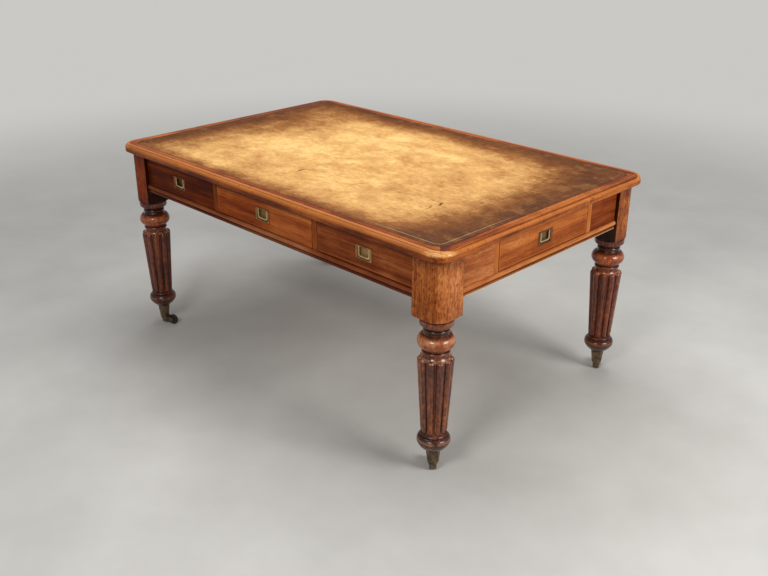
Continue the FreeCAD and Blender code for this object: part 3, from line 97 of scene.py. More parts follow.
# On a drawer front, in from its edge, from its upper edge, from the edge of its handle plate and
# from the face of the frieze:
RUBBED_LINE = (0.0030, 0.0038, 0.0050, 0.0060)
# Painted shade along a drawer front's edges, and a painted shadow of the top along its upper edge:
EDGE_SHADE = (0.0026, 0.0006)
TOP_SHADOW_REACH = (0.016, 0.0)
PLATE_DIRT = (-0.0050, 0.0)
OUTER_FACE = (0.0060, 0.0040)
# On the leather, in from its edge: the gilt line, and lines pressed without gold
GILT_LINE = (0.0180, 0.0186, 0.0194, 0.0200)
TOOLED_LINES = (0.0130, 0.0290, 0.0450, 0.0610)

# Middle of the painted patch of light on the leather
LIGHT_PATCH_CENTRE = (-0.20, 0.00, 0.762)

# Each stain on the leather: its line, its width and how strong it is
STAINS = (
    (((0.4845, -0.1980), (0.4935, -0.1975)), 0.0045, 0.65),
    (((0.5035, -0.1970), (0.5275, -0.2030)), 0.0036, 0.50),
    (((0.5275, -0.2030), (0.5350, -0.2210)), 0.0066, 0.95),
    (((0.5170, -0.2380), (0.5290, -0.2595), (0.5280, -0.2710)), 0.0048, 0.60),
    (((-0.0505, -0.2975), (-0.0555, -0.2810), (-0.0545, -0.2680)), 0.0052, 0.80),
    (((-0.0545, -0.2680), (-0.0420, -0.2605), (-0.0260, -0.2565)), 0.0040, 0.60),
    (((0.208, -0.236), (0.190, -0.262)), 0.0055, 0.45),
    (((0.138, 0.422), (0.166, 0.404)), 0.0180, 0.55),
)

# Each long scratch on the right-hand front drawer: its height above the middle, half its width
# and how strong it is
SCRATCHES = ((-0.004, 0.0080, 0.42), (0.013, 0.0045, 0.22))


# ---------------------------------------------------------------------------
# Colours. Tones are dark, middle and light.
# ---------------------------------------------------------------------------
def srgb(red, green, blue):
    """A display colour from 0 to 255 as linear RGBA."""
    def linear(value):
        value /= 255
        return value / 12.92 if value <= 0.04045 else ((value + 0.055) / 1.055) ** 2.4
    return (linear(red), linear(green), linear(blue), 1.0)


TOP_TONES = (srgb(93, 32, 5), srgb(140, 62, 12), srgb(178, 95, 33))
END_TOP_TONES = (srgb(102, 38, 6), srgb(153, 73, 17), srgb(192, 107, 39))
RAIL_TONES = (srgb(74, 24, 5), srgb(116, 50, 14), srgb(158, 86, 36))
END_RAIL_TONES = (srgb(126, 60, 20), srgb(168, 96, 44), srgb(200, 130, 70))
# Bead tones, lighter to stand for the light on the rails' bead:
LIT_BEAD_TONES = (srgb(112, 48, 18), srgb(152, 80, 42), srgb(184, 116, 76))
LIT_END_BEAD_TONES = (srgb(176, 92, 38), srgb(208, 124, 64), srgb(226, 156, 100))
DIVIDER_TONES = (srgb(98, 40, 11), srgb(140, 68, 24), srgb(178, 100, 46))
END_DIVIDER_TONES = (srgb(140, 66, 24), srgb(184, 104, 48), srgb(208, 130, 70))
PANEL_TONES = (srgb(132, 64, 28), srgb(178, 100, 54), srgb(206, 132, 80))
FAR_PANEL_TONES = (srgb(84, 28, 7), srgb(124, 52, 16), srgb(156, 80, 32))
CARCASE_TONES = (srgb(104, 72, 42), srgb(140, 102, 64), srgb(172, 132, 88))
LINING_TONES = (srgb(140, 98, 58), srgb(178, 134, 86), srgb(204, 164, 112))

POST_TONES = (srgb(100, 38, 8), srgb(154, 76, 24), srgb(194, 114, 50))
FADED_POST_TONES = (srgb(150, 74, 30), srgb(192, 110, 56), srgb(214, 142, 84))
LEFT_POST_TONES = (srgb(98, 28, 0), srgb(140, 49, 1), srgb(174, 80, 8))
TURNED_TONES = (srgb(62, 21, 6), srgb(112, 50, 18), srgb(156, 86, 40))
BUN_TONES = (srgb(108, 42, 10), srgb(158, 76, 26), srgb(194, 116, 56))
LOWER_BUN_TONES = (srgb(44, 20, 12), srgb(80, 38, 24), srgb(122, 70, 48))

DRAWER_TONES = {
    "front_left": (srgb(64, 19, 0), srgb(94, 31, 1), srgb(126, 52, 6)),
    "front_middle": (srgb(112, 40, 8), srgb(150, 66, 16), srgb(184, 98, 38)),
    "front_right": (srgb(98, 38, 14), srgb(138, 66, 26), srgb(170, 98, 52)),
    "right_end": (srgb(146, 68, 22), srgb(186, 100, 42), srgb(208, 128, 66)),
    "back_left": (srgb(98, 36, 10), srgb(138, 63, 22), srgb(172, 95, 44)),
    "back_middle": (srgb(86, 28, 8), srgb(125, 52, 16), srgb(160, 84, 34)),
    "back_right": (srgb(70, 18, 5), srgb(103, 35, 11), srgb(136, 64, 27)),
    "left_end": (srgb(112, 46, 14), srgb(150, 75, 30), srgb(182, 106, 52)),
}
# The right half of the front middle drawer is lighter
FADED_DRAWER_TONES = (srgb(142, 62, 22), srgb(182, 96, 42), srgb(208, 126, 64))
# How plainly the rubbed line inside a drawer front's edges shows
EDGE_LINE = {"front_middle": 0.60, "front_right": 0.35, "right_end": 0.40}
FAINT_EDGE_LINE = 0.2

# Handle plates: rubbed brass, aged brass, dirt, and the tarnish inside the pan
PLATES = {
    "front_left": (srgb(158, 104, 66), srgb(120, 74, 44), srgb(50, 32, 16), srgb(58, 40, 14)),
    "front_middle": (srgb(176, 136, 80), srgb(144, 100, 52), srgb(58, 44, 22), srgb(118, 96, 50)),
    "front_right": (srgb(192, 146, 94), srgb(154, 108, 62), srgb(62, 46, 26), srgb(152, 120, 72)),
    "right_end": (srgb(136, 104, 68), srgb(96, 68, 40), srgb(40, 29, 18), srgb(114, 88, 58)),
}
PLATE_LIKE = {"back_left": "front_right", "back_middle": "front_middle",
              "back_right": "front_left", "left_end": "right_end"}

# The leather from its handled edges to its rubbed middle
LEATHER_COLOURS = (
    (0.0, srgb(93, 53, 25)), (0.20, srgb(119, 69, 31)), (0.40, srgb(151, 97, 49)),
    (0.60, srgb(190, 137, 79)), (0.80, srgb(219, 168, 101)), (0.98, srgb(242, 200, 128)),
)
WHEEL_COLOURS = ((0.35, srgb(34, 30, 27)), (0.55, srgb(58, 50, 43)), (0.72, srgb(92, 80, 66)))
FLOOR_COLOURS = ((0.35, srgb(192, 190, 184)), (0.65, srgb(204, 202, 196)))
BACKGROUND = srgb(200, 199, 195)
BLACK = (0.0, 0.0, 0.0, 1.0)


# ---------------------------------------------------------------------------
# Node patterns
# ---------------------------------------------------------------------------
class Pattern:
    """A material's nodes, written as calls that return their output sockets.

    A value is a socket or a number, a vector or a colour, as the input takes.
    """

    def __init__(self, name):
        self.material = bpy.data.materials.new(name)
        self.material.use_nodes = True
        self.tree = self.material.node_tree
        self.tree.nodes.clear()
        output = self.tree.nodes.new("ShaderNodeOutputMaterial")
        self.shader = self.tree.nodes.new("ShaderNodeBsdfPrincipled")
        self.tree.links.new(self.shader.outputs[0], output.inputs["Surface"])
        self.place = self.tree.nodes.new("ShaderNodeTexCoord").outputs["Object"]

    def feed(self, socket, value):
        if isinstance(value, bpy.types.NodeSocket):
            self.tree.links.new(value, socket)
        else:
            socket.default_value = value

    def add(self, kind, *values, **settings):
        """A new node with these settings, its first inputs fed with the values."""
        node = self.tree.nodes.new("ShaderNode" + kind)
        for name, setting in settings.items():
            setattr(node, name, setting)
        for socket, value in zip(node.inputs, values):
            self.feed(socket, value)
        return node

    def calc(self, operation, *values, clamp=False):
        return self.add("Math", *values, operation=operation, use_clamp=clamp).outputs[0]

    def plus(self, first, second, clamp=False):
        return self.calc("ADD", first, second, clamp=clamp)

    def minus(self, first, second):
        return self.calc("SUBTRACT", first, second)

    def times(self, *values):
        product = values[0]
        for value in values[1:]:
            product = self.calc("MULTIPLY", product, value)
        return product

    def most(self, *values):
        """The greatest of the values."""
        greatest = values[0]
        for value in values[1:]:
            greatest = self.calc("MAXIMUM", greatest, value)
        return greatest

    def size(self, value):
        return self.calc("ABSOLUTE", value)

    def slope(self, value, rise, start, clamp=False):
        """start, and rise times the value more."""
        return self.calc("MULTIPLY_ADD", value, rise, start, clamp=clamp)

    def blend(self, *weighted):
        """The sum of pairs of a value and its weight."""
        terms = [self.times(value, weight) for value, weight in weighted]
        total = terms[0]
        for term in terms[1:]:
            total = self.plus(total, term)
        return total

    def step(self, value, low, high, start=0.0, end=1.0):
        """Smooth change from start to end as value goes from low to high."""
        return self.add("MapRange", value, low, high, start, end,
                        interpolation_type="SMOOTHSTEP").outputs[0]

    def band(self, value, start, full, fade, end):
        """1 from full to fade, 0 before start and after end."""
        return self.times(self.step(value, start, full), self.step(value, end, fade))

    def vector(self, operation, *values):
        return self.add("VectorMath", *values, operation=operation).outputs[0]

    def length(self, vector):
        return self.add("VectorMath", vector, operation="LENGTH").outputs["Value"]

    def stretch(self, vector, *factors):
        return self.vector("MULTIPLY", vector, factors)

    def parts(self, vector):
        return tuple(self.add("SeparateXYZ", vector).outputs)

    def join(self, x, y, z):
        return self.add("CombineXYZ", x, y, z).outputs[0]

    def noise(self, vector, scale, detail=2.0, roughness=0.5, distortion=0.0):
        node = self.add("TexNoise")
        for name, value in (("Vector", vector), ("Scale", scale), ("Detail", detail),
                            ("Roughness", roughness), ("Distortion", distortion)):
            self.feed(node.inputs[name], value)
        return node.outputs[0]

    def cells(self, vector, scale):
        node = self.add("TexVoronoi")
        self.feed(node.inputs["Vector"], vector)
        self.feed(node.inputs["Scale"], scale)
        return node.outputs["Distance"]

    def mix(self, factor, first, second, blend="MIX"):
        """The first colour where factor is 0, the second where it is 1."""
        node = self.add("Mix", data_type="RGBA", blend_type=blend)
        self.feed(node.inputs["Factor"], factor)
        self.feed(node.inputs[6], first)
        self.feed(node.inputs[7], second)
        return node.outputs[2]

    def paint(self, colour, mask, strength, paint, blend="MIX"):
        """The colour with paint on it where the mask is 1, as thick as the strength says."""
        return self.mix(self.times(mask, strength), colour, paint, blend)

    def choose(self, factor, first, second):
        """The first vector where factor is 0, the second where it is 1."""
        node = self.add("Mix", data_type="VECTOR")
        self.feed(node.inputs["Factor"], factor)
        self.feed(node.inputs[4], first)
        self.feed(node.inputs[5], second)
        return node.outputs[1]

    def ramp(self, value, *stops):
        node = self.add("ValToRGB", value)
        elements = node.color_ramp.elements
        while len(elements) < len(stops):
            elements.new(0.5)
        for element, (position, colour) in zip(elements, stops):
            element.position = position
            element.color = colour
        return node.outputs[0]

    def tones(self, tone, tones):
        """The timber's dark, middle and light colour where the tone is low, middling and high."""
        return self.ramp(tone, *zip((0.25, 0.50, 0.75), tones))

    def crevice(self, distance):
        """1 on open surfaces, towards 0 in grooves of the piece's own shape."""
        node = self.add("AmbientOcclusion", only_local=True, samples=8)
        self.feed(node.inputs["Distance"], distance)
        return node.outputs["AO"]

    def bump(self, height, depth, strength):
        node = self.add("Bump")
        for name, value in (("Height", height), ("Distance", depth), ("Strength", strength)):
            self.feed(node.inputs[name], value)
        self.feed(self.shader.inputs["Normal"], node.outputs[0])

    def finish(self, colour, roughness, fixed=()):
        """Colour and roughness from nodes; what is the same all over is set on the shader."""
        self.feed(self.shader.inputs["Base Color"], colour)
        self.feed(self.shader.inputs["Roughness"], roughness)
        for name, value in fixed:
            self.shader.inputs[name].default_value = value
        return self.material


def grained(p, grain):
    """Object coordinates with the grain running along X. The grain is 'X', 'Y', 'Z', or 'ring',
    which is along X on the long sides of the desk and along Y at its ends."""
    x, y, z = p.parts(p.place)
    if grain == "X":
        return p.place
    if grain == "Y":
        return p.join(y, x, z)
    if grain == "Z":
        return p.join(z, x, y)
    at_end = p.calc("GREATER_THAN", p.size(x), SIDE_LINE)
    return p.choose(at_end, p.place, p.join(y, x, z))


def inset_in(p, across, up, half, corner=0.0):
    """How far a place lies inside a rectangle about the origin whose corners may be rounded.

    The half is half the width and half the height of the rectangle.
    """
    over = p.minus(p.size(across), half[0] - corner)
    above = p.minus(p.size(up), half[1] - corner)
    outside = p.most(over, above)
    if corner:
        away = p.length(p.join(p.most(over, 0.0), p.most(above, 0.0), 0.0))
        outside = p.plus(away, p.calc("MINIMUM", outside, 0.0))
    return p.minus(corner, outside)


# ---------------------------------------------------------------------------
# Timber
# ---------------------------------------------------------------------------
def wood(name, tones, grain, seed, polish=0.0, coat=0.0, contrast=2.6, marks=None,
         hollow=(0.010, 0.85)):
    """Timber with cloudy tone, ribbon stripes, fibre and short dark pores, under polish.

    The marks, if any, are a function that changes the colour, given the pattern and the tone.
    The hollow is how near the sides of a groove are that get painted shade, and how dark that shade is.
    """
    p = Pattern(name)
    line = p.vector("ADD", grained(p, grain), (seed, seed * 1.7, seed * 0.6))
    stretched = p.stretch(line, 0.06, 1.0, 1.0)
    cloud = p.noise(line, 7.0, 3.0, 0.55, 0.3)
    stripe = p.noise(stretched, 26.0, 4.0, 0.6, 0.25)
    fibre = p.noise(p.stretch(line, 0.03, 1.0, 1.0), 330.0, 3.0, 0.65)
    pore = p.noise(p.stretch(line, 0.09, 1.0, 1.0), 900.0, 1.0, 0.5)
    tone = p.blend((stripe, 0.52), (cloud, 0.24), (fibre, 0.24))
    tone = p.slope(p.minus(tone, 0.5), contrast, 0.5)
    colour = p.tones(tone, tones)
    pores = p.step(pore, 0.56, 0.70)
    colour = p.paint(colour, pores, 0.60, srgb(38, 14, 7))
    if marks:
        colour = marks(p, tone, colour)
    hollow_reach, hollow_dark = hollow
    # Painted shade in the grooves of the piece's own shape, from ambient occlusion
    groove = p.step(p.crevice(hollow_reach), 0.35, 0.95)
    colour = p.paint(colour, p.minus(1.0, groove), hollow_dark, srgb(24, 9, 5))
    scuff = p.noise(line, 38.0, 4.0, 0.7)
    rough = p.slope(scuff, 0.22, 0.50 - 0.26 * polish)
    rough = p.slope(pores, 0.15, rough, clamp=True)
    p.bump(p.minus(p.times(fibre, 0.35), pores), 0.00012, 0.5)
    return p.finish(colour, rough, (("Coat Weight", coat), ("Coat Roughness", 0.12),
                                    ("Specular IOR Level", 0.05)))


def border_marks(p, tone, colour):
    """Painted shade in the quirk and a dark line along the leather; the thumb moulding is rubbed lighter
    and painted with a highlight, brightest in streaks at the right front corner, and the end members are checked
    across."""
    x, y, z = p.parts(p.place)
    inset = inset_in(p, x, y, TOP_HALF, TOP_CORNER)
    # The thumb moulding painted lighter: rubbed wear and a painted highlight along it
    rubbed = p.times(p.step(inset, *THUMB_MOULDING), p.step(z, *THUMB_HEIGHT))
    colour = p.paint(colour, rubbed, 0.50, srgb(216, 136, 68))
    # Painted highlight in streaks on the thumb moulding, brightest at the right front corner
    corner = p.times(rubbed, p.step(p.plus(p.size(x), p.size(y)), *CORNER_X_PLUS_Y))
    nearness = p.step(p.minus(x, y), *RIGHT_FRONT_X_MINUS_Y, 0.35, 1.0)
    streaky = p.noise(p.stretch(p.place, 1.0, 1.0, 6.0), 70.0, 4.0, 0.7)
    streaks = p.step(streaky, 0.40, 0.60, 0.25, 0.85)
    corner = p.times(corner, p.times(nearness, streaks))
    colour = p.mix(corner, colour, srgb(242, 184, 112))

    patchy = p.step(p.noise(p.place, 16.0, 4.0, 0.65), 0.34, 0.58, 0.35, 0.90)
    at_end = p.step(p.size(x), *END_MEMBER_X)
    # Painted shade in the quirk, broken in patches; a dark line along the leather joint
    quirk = p.times(p.band(inset, *QUIRK), patchy)
    quirk = p.times(quirk, p.slope(at_end, -0.5, 1.0))
    joint = p.times(p.step(inset, *LEATHER_JOINT), 0.75)
    colour = p.mix(p.most(quirk, joint), colour, srgb(62, 24, 8))

    crossing = p.noise(p.stretch(p.place, 0.12, 1.0, 0.3), 210.0, 3.0, 0.6)
    checks = p.times(p.step(crossing, 0.54, 0.68), at_end)
    colour = p.paint(colour, checks, 0.38, srgb(104, 40, 12))
    knocks = p.step(p.noise(p.place, 46.0, 3.0, 0.7), 0.61, 0.71)
    return p.paint(colour, knocks, 0.60, srgb(78, 24, 8))


def rail_marks(lit_bead_tones, edge):
    """The rails' bead is painted lighter as if lit, the strip under it has painted shade, its lower edge has the
    given colour.
    """
    def marks(p, tone, colour):
        z = p.parts(p.place)[2]
        bead = p.times(p.step(z, *BEAD_FOOT), p.step(z, *BEAD_HEAD))
        # The bead painted lighter, standing for the light on it
        colour = p.paint(colour, bead, 0.75, p.tones(tone, lit_bead_tones))
        # Painted shade on the strip under the bead
        colour = p.mix(p.step(z, *STRIP_HEAD, 0.0, 0.45), colour, srgb(62, 20, 8))
        # The lower edge in the given colour: a painted highlight on the end rails, reddish brown on the long sides
        return p.mix(p.step(z, *RAIL_FOOT, 0.0, 0.85), colour, edge)
    return marks


def other_tones(tones, where):
    """Other tones where the given function of the coordinates is 1."""
    def marks(p, tone, colour):
        return p.mix(where(p, *p.parts(p.place)), colour, p.tones(tone, tones))
    return marks


def at_ends(p, x, y, z):
    return p.step(p.size(x), SIDE_LINE, SIDE_LINE + 0.01)


def at_far_side(p, x, y, z):
    return p.step(y, -0.01, 0.01)


def front_marks(drawer):
    """Painted shade round a drawer front's edges and a painted shadow of the top along its upper edge, dirt round
    its handle plate, and a rubbed line inside the edges.
    """
    low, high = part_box(f"{drawer}_drawer_front")
    plate_low, plate_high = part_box(f"{drawer}_handle_plate")
    middle = (low + high) / 2
    half = (high - low) / 2
    plate_half = (plate_high - plate_low) / 2
    along, out = (1, 0) if drawer.endswith("_end") else (0, 1)
    face = FRIEZE[out]

    def marks(p, tone, colour):
        place = p.parts(p.place)
        across = p.minus(place[along], middle[along])
        up = p.minus(place[2], middle.z)
        edge = inset_in(p, across, up, (half[along], half.z))
        plate = inset_in(p, across, up, (plate_half[along], plate_half.z))
        line = p.times(p.band(edge, *RUBBED_LINE), EDGE_LINE.get(drawer, FAINT_EDGE_LINE))
        colour = p.mix(line, colour, DRAWER_TONES[drawer][2])
        if drawer == "front_middle":
            right_half = p.step(across, -0.03, 0.12, 0.0, 0.9)
            colour = p.mix(right_half, colour, p.tones(tone, FADED_DRAWER_TONES))
        if drawer == "front_right":
            wander = p.times(p.minus(p.noise(p.place, 5.0, 2.0, 0.5), 0.5), 0.05)
            height = p.plus(up, wander)
            for level, reach, strength in SCRATCHES:
                off = p.size(p.minus(height, level))
                streak = p.times(p.step(off, reach, 0.0), p.step(across, 0.035, 0.080))
                colour = p.paint(colour, streak, strength, srgb(182, 108, 64))
        outer = p.step(p.size(place[out]), *(face - depth for depth in OUTER_FACE))
        grime = p.times(p.step(plate, *PLATE_DIRT), outer, 0.55)
        # Painted shade along the edges and a painted shadow of the top along the upper edge, with the dirt round
        # the plate
        dirt = p.most(p.step(edge, *EDGE_SHADE, 0.0, 0.85), grime,
                      p.step(up, *(half.z - reach for reach in TOP_SHADOW_REACH), 0.0, 0.45))
        return p.mix(dirt, colour, srgb(30, 11, 5))
    return marks


def turned_wood(name):
    """The legs: upright grain, orange-brown posts, dark red turned work with painted highlights on its crests."""
    p = Pattern(name)
    x, y, z = p.parts(p.place)
    line = p.join(z, x, y)
    cloud = p.noise(line, 9.0, 3.0, 0.6, 0.4)
    stripe = p.noise(p.stretch(line, 0.08, 1.0, 1.0), 75.0, 4.0, 0.6, 0.3)
    fibre = p.noise(p.stretch(line, 0.035, 1.0, 1.0), 340.0, 3.0, 0.65)
    pore = p.noise(p.stretch(line, 0.10, 1.0, 1.0), 620.0, 2.0, 0.6)
    fleck = p.noise(p.stretch(line, 0.45, 1.0, 1.0), 150.0, 3.0, 0.6)
    tone = p.blend((stripe, 0.18), (cloud, 0.28), (fibre, 0.24), (fleck, 0.30))
    tone = p.slope(p.minus(tone, 0.5), 3.0, 0.5)

    # The square posts: paler outside the right end, redder at the left, with a painted shadow under the top and
    # darker towards the foot
    faded = p.times(p.step(p.size(x), *POST_OUTSIDE_X), p.step(y, 0.3, -0.3, 0.05, 0.75))
    post = p.mix(faded, p.tones(tone, POST_TONES), p.tones(tone, FADED_POST_TONES))
    post = p.mix(p.step(x, *LEFT_LEGS_X, 0.0, 0.95), post, p.tones(tone, LEFT_POST_TONES))
    # A painted shadow of the top on the upper posts, and darker towards the foot
    top_shadow_and_dark_foot = p.most(p.step(z, *UNDER_TOP, 0.0, 0.42), p.step(z, *POST_END, 0.0, 0.20))
    post = p.mix(top_shadow_and_dark_foot, post, srgb(70, 24, 6))

    # The turned work
    turned = p.mix(p.band(z, *BUN), p.tones(tone, TURNED_TONES), p.tones(tone, BUN_TONES))
    turned = p.mix(p.step(z, *LOWER_BUN_HEAD), turned, p.tones(tone, LOWER_BUN_TONES))
    # Painted highlights on the bun crests, the reed tops and the lower bun, broken by noise
    crest_highlight = p.most(p.band(z, *BUN_CREST), p.band(z, *RING_CREST),
                  p.times(p.band(z, *LOWER_BUN_CREST), 0.5))
    crest_highlight = p.times(crest_highlight, p.step(p.noise(p.place, 26.0, 3.0, 0.6), 0.36, 0.60))
    turned = p.paint(turned, crest_highlight, 0.50, srgb(228, 162, 116))
    at_left = p.step(x, *LEFT_LEGS_X)
    turned = p.paint(turned, at_left, 0.8, srgb(226, 190, 166), "MULTIPLY")
    turned = p.mix(p.step(y, *FAR_LEGS_Y, 0.0, 0.8), turned, srgb(236, 206, 180), "MULTIPLY")

    # Both: pores, painted shade on the posts' inner faces, in the dark neck and in the grooves
    squared = p.step(z, *SQUARE_FOOT)
    colour = p.mix(squared, turned, post)
    pitted = p.noise(p.stretch(line, 0.36, 1.0, 1.0), 200.0, 3.0, 0.6)
    pores = p.most(p.step(pore, 0.58, 0.72), p.step(pitted, 0.56, 0.68))
    colour = p.paint(colour, pores, 0.62, srgb(52, 20, 8))
    # Painted shade on the posts' inner return faces
    inner = p.most(*(p.step(p.size(value), limit + 0.0012, limit + 0.0002)
                     for value, limit in zip((x, y), POST_INNER)))
    inner = p.times(inner, squared, 0.92)
    # Painted shade in the neck under the square post
    neck = p.times(p.band(z, *NECK), 0.70)
    colour = p.mix(p.most(inner, neck), colour, srgb(30, 14, 8))
    # Painted shade in the grooves between the reeds and turnings, from ambient occlusion
    groove = p.step(p.crevice(0.012), 0.30, 0.92)
    colour = p.paint(colour, p.minus(1.0, groove), 0.90, srgb(20, 8, 5))

    scuff = p.noise(p.place, 45.0, 4.0, 0.7)
    rough = p.slope(scuff, 0.20, 0.24)
    rough = p.slope(pores, 0.12, rough, clamp=True)
    polish = p.slope(squared, p.slope(at_left, -0.15, -0.80), 0.95)
    p.feed(p.shader.inputs["Coat Weight"], polish)
    p.bump(p.minus(p.times(fibre, 0.35), pores), 0.00014, 0.6)
    return p.finish(colour, rough, (("Coat Roughness", 0.20), ("Specular IOR Level", 0.08)))


# ---------------------------------------------------------------------------
# Leather and metal
# ---------------------------------------------------------------------------
def stroke(p, x, y, points, width):
    """1 along a wobbly line through the points, fading out over its width."""
    wobble = p.times(p.minus(p.noise(p.place, 120.0, 4.0, 0.65), 0.5), 0.013)
    nearest = 1.0
    for start, end in zip(points, points[1:]):
        run = (end[0] - start[0], end[1] - start[1])
        squared = run[0] ** 2 + run[1] ** 2
        off_x = p.minus(x, start[0])
        off_y = p.minus(y, start[1])
        passed = p.plus(p.times(off_x, run[0] / squared), p.times(off_y, run[1] / squared),
                        clamp=True)
        away = p.length(p.join(p.minus(off_x, p.times(passed, run[0])),
                               p.minus(off_y, p.times(passed, run[1])), 0.0))
        nearest = p.calc("MINIMUM", nearest, away)
    return p.step(p.plus(nearest, wobble), width, width * 0.25)


def hide(name):
    """Worn writing leather: golden middle with a painted patch of light, dark edges from handling, tooled lines
    and a few stains.
    """
    p = Pattern(name)
    x, y, z = p.parts(p.place)
    half_x, half_y = LEATHER_HALF
    inset = inset_in(p, x, y, LEATHER_HALF, LEATHER_CORNER)

    cloud = p.noise(p.place, 4.2, 6.0, 0.60, 0.3)
    drift = p.noise(p.stretch(p.place, 0.7, 1.0, 1.0), 17.0, 5.0, 0.62, 0.2)
    streak = p.noise(p.stretch(p.place, 0.6, 1.0, 1.0), 90.0, 4.0, 0.65)
    speck = p.noise(p.place, 160.0, 3.0, 0.7)

    # How rubbed the leather is: 0 at the edges dark from handling, about 1 in the middle
    leaning = p.minus(x, p.times(y, 0.30))
    left = p.plus(p.step(x, -half_x, -half_x + 0.17, 0.0, 0.58),
                  p.step(leaning, -0.70, -0.36, 0.0, 0.42))
    right = p.step(x, half_x, half_x - 0.25)
    near = p.step(y, -half_y - 0.05, -half_y + 0.090)
    far = p.step(y, half_y + 0.02, half_y - 0.20)
    near_corner = p.step(p.minus(x, p.times(y, 0.9)), 0.66, 1.12, 1.0, 0.28)
    far_corner = p.step(p.plus(x, p.times(y, 0.9)), 0.56, 1.06, 1.0, 0.30)
    rubbed = p.times(p.times(left, right), p.times(near, far))
    rubbed = p.times(rubbed, p.times(near_corner, far_corner))

    # The leather's colour, lighter in a painted patch of light and uneven all over
    uneven = p.blend((p.minus(cloud, 0.5), 1.10), (p.minus(drift, 0.5), 0.75))
    uneven = p.slope(p.minus(streak, 0.5), 0.70, uneven)
    # A painted patch of light on the middle of the leather
    light_patch = p.length(p.vector("SUBTRACT", p.place, LIGHT_PATCH_CENTRE))
    level = p.plus(p.slope(rubbed, 0.92, p.step(light_patch, 0.45, 0.05, 0.035, 0.10)),
                   p.times(uneven, p.step(rubbed, 0.0, 0.5, 0.80, 1.0)))
    colour = p.ramp(p.times(level, 0.8), *LEATHER_COLOURS)
    colour = p.mix(p.step(speck, 0.54, 0.74, 0.0, 0.42), colour, srgb(104, 64, 34))

    # Combed streaks at the ends and paler patches in the dark part
    dark_part = p.step(rubbed, 0.55, 0.10)
    along_end = p.noise(p.stretch(p.place, 1.0, 0.12, 1.0), 120.0, 3.0, 0.6)
    combed = p.times(p.step(along_end, 0.48, 0.66), p.step(p.size(x), 0.50, 0.66))
    colour = p.paint(colour, combed, 0.35, srgb(66, 38, 22))
    patches = p.times(p.step(p.noise(p.place, 13.0, 4.0, 0.65), 0.50, 0.66), dark_part)
    colour = p.paint(colour, patches, 0.40, srgb(164, 110, 62))

    # Tooling, with gilt left at the near corner, and the seam against the border
    tooled = p.most(0.0, *(p.band(inset, at - 0.0012, at - 0.0006, at + 0.0006, at + 0.0012)
                           for at in TOOLED_LINES))
    tooled = p.times(tooled, dark_part)
    seam = p.step(inset, 0.0030, 0.0008)
    dents = p.most(p.times(tooled, 0.55), p.times(seam, 0.80))
    colour = p.mix(dents, colour, srgb(40, 24, 14))
    line = p.band(inset, *GILT_LINE)
    kept = p.step(p.noise(p.place, 6.0, 3.0, 0.6), 0.40, 0.56)
    kept = p.most(p.times(kept, 0.15), p.step(near_corner, 0.75, 0.35))
    colour = p.paint(colour, p.times(line, kept), 0.75, srgb(216, 190, 146))

    stains = p.most(0.0, *(p.times(stroke(p, x, y, points, width), strength)
                           for points, width, strength in STAINS))
    colour = p.mix(stains, colour, srgb(104, 58, 16))

    grain = p.cells(p.place, 620.0)
    crease = p.noise(p.stretch(p.place, 0.6, 1.0, 1.0), 60.0, 5.0, 0.7)
    height = p.blend((grain, 0.35), (crease, 0.9))
    height = p.minus(height, p.times(p.plus(tooled, line), 0.8))
    p.bump(height, 0.00035, 0.6)
    rough = p.slope(p.minus(speck, 0.5), 0.25, 0.54)
    rough = p.slope(rubbed, 0.12, rough, clamp=True)
    return p.finish(colour, rough, (("Specular IOR Level", 0.10),))


def brass(name, clean, aged, dark, patina, in_pan=None):
    """Old brass: rubbed bright, brown patina in hollows, fine scratches. The recessed part of a
    handle plate, behind the drawer faces, has its own tarnished colour."""
    p = Pattern(name)
    cloud = p.noise(p.place, 55.0, 4.0, 0.65, 0.4)
    fine = p.noise(p.place, 420.0, 3.0, 0.7)
    scratch = p.noise(p.stretch(p.place, 1.0, 1.0, 0.12), 1400.0, 2.0, 0.5)
    tone = p.blend((cloud, 0.6), (fine, 0.4))
    colour = p.ramp(tone, (0.36, aged), (0.62, clean))
    groove = p.step(p.crevice(0.006), 0.35, 0.95)
    dirt = p.plus(p.times(p.minus(1.0, groove), 0.9), p.step(cloud, 0.55, 0.35, 0.0, patina),
                  clamp=True)
    colour = p.mix(dirt, colour, dark)
    metallic = p.slope(dirt, -0.55, 0.92)
    if in_pan:
        x, y, z = p.parts(p.place)
        sunk = p.times(*(p.step(p.size(value), face - 0.0008, face - 0.0020)
                         for value, face in zip((x, y), FRIEZE)))
        colour = p.paint(colour, sunk, 0.85, in_pan)
        metallic = p.calc("SUBTRACT", metallic, p.times(sunk, 0.65), clamp=True)
    rough = p.slope(fine, 0.22, 0.30)
    rough = p.slope(dirt, 0.30, rough, clamp=True)
    p.feed(p.shader.inputs["Metallic"], metallic)
    p.bump(p.blend((fine, 0.6), (scratch, 0.3)), 0.00010, 0.5)
    return p.finish(colour, rough)


def iron(name):
    """Dull dark wheels with rubbed brown rims and floor dust."""
    p = Pattern(name)
    cloud = p.noise(p.place, 80.0, 5.0, 0.7)
    fine = p.noise(p.place, 600.0, 3.0, 0.7)
    colour = p.ramp(cloud, *WHEEL_COLOURS)
    rough = p.slope(fine, 0.30, 0.38, clamp=True)
    p.bump(p.plus(cloud, p.times(fine, 0.5)), 0.0003, 0.5)
    return p.finish(colour, rough, (("Metallic", 0.45),))


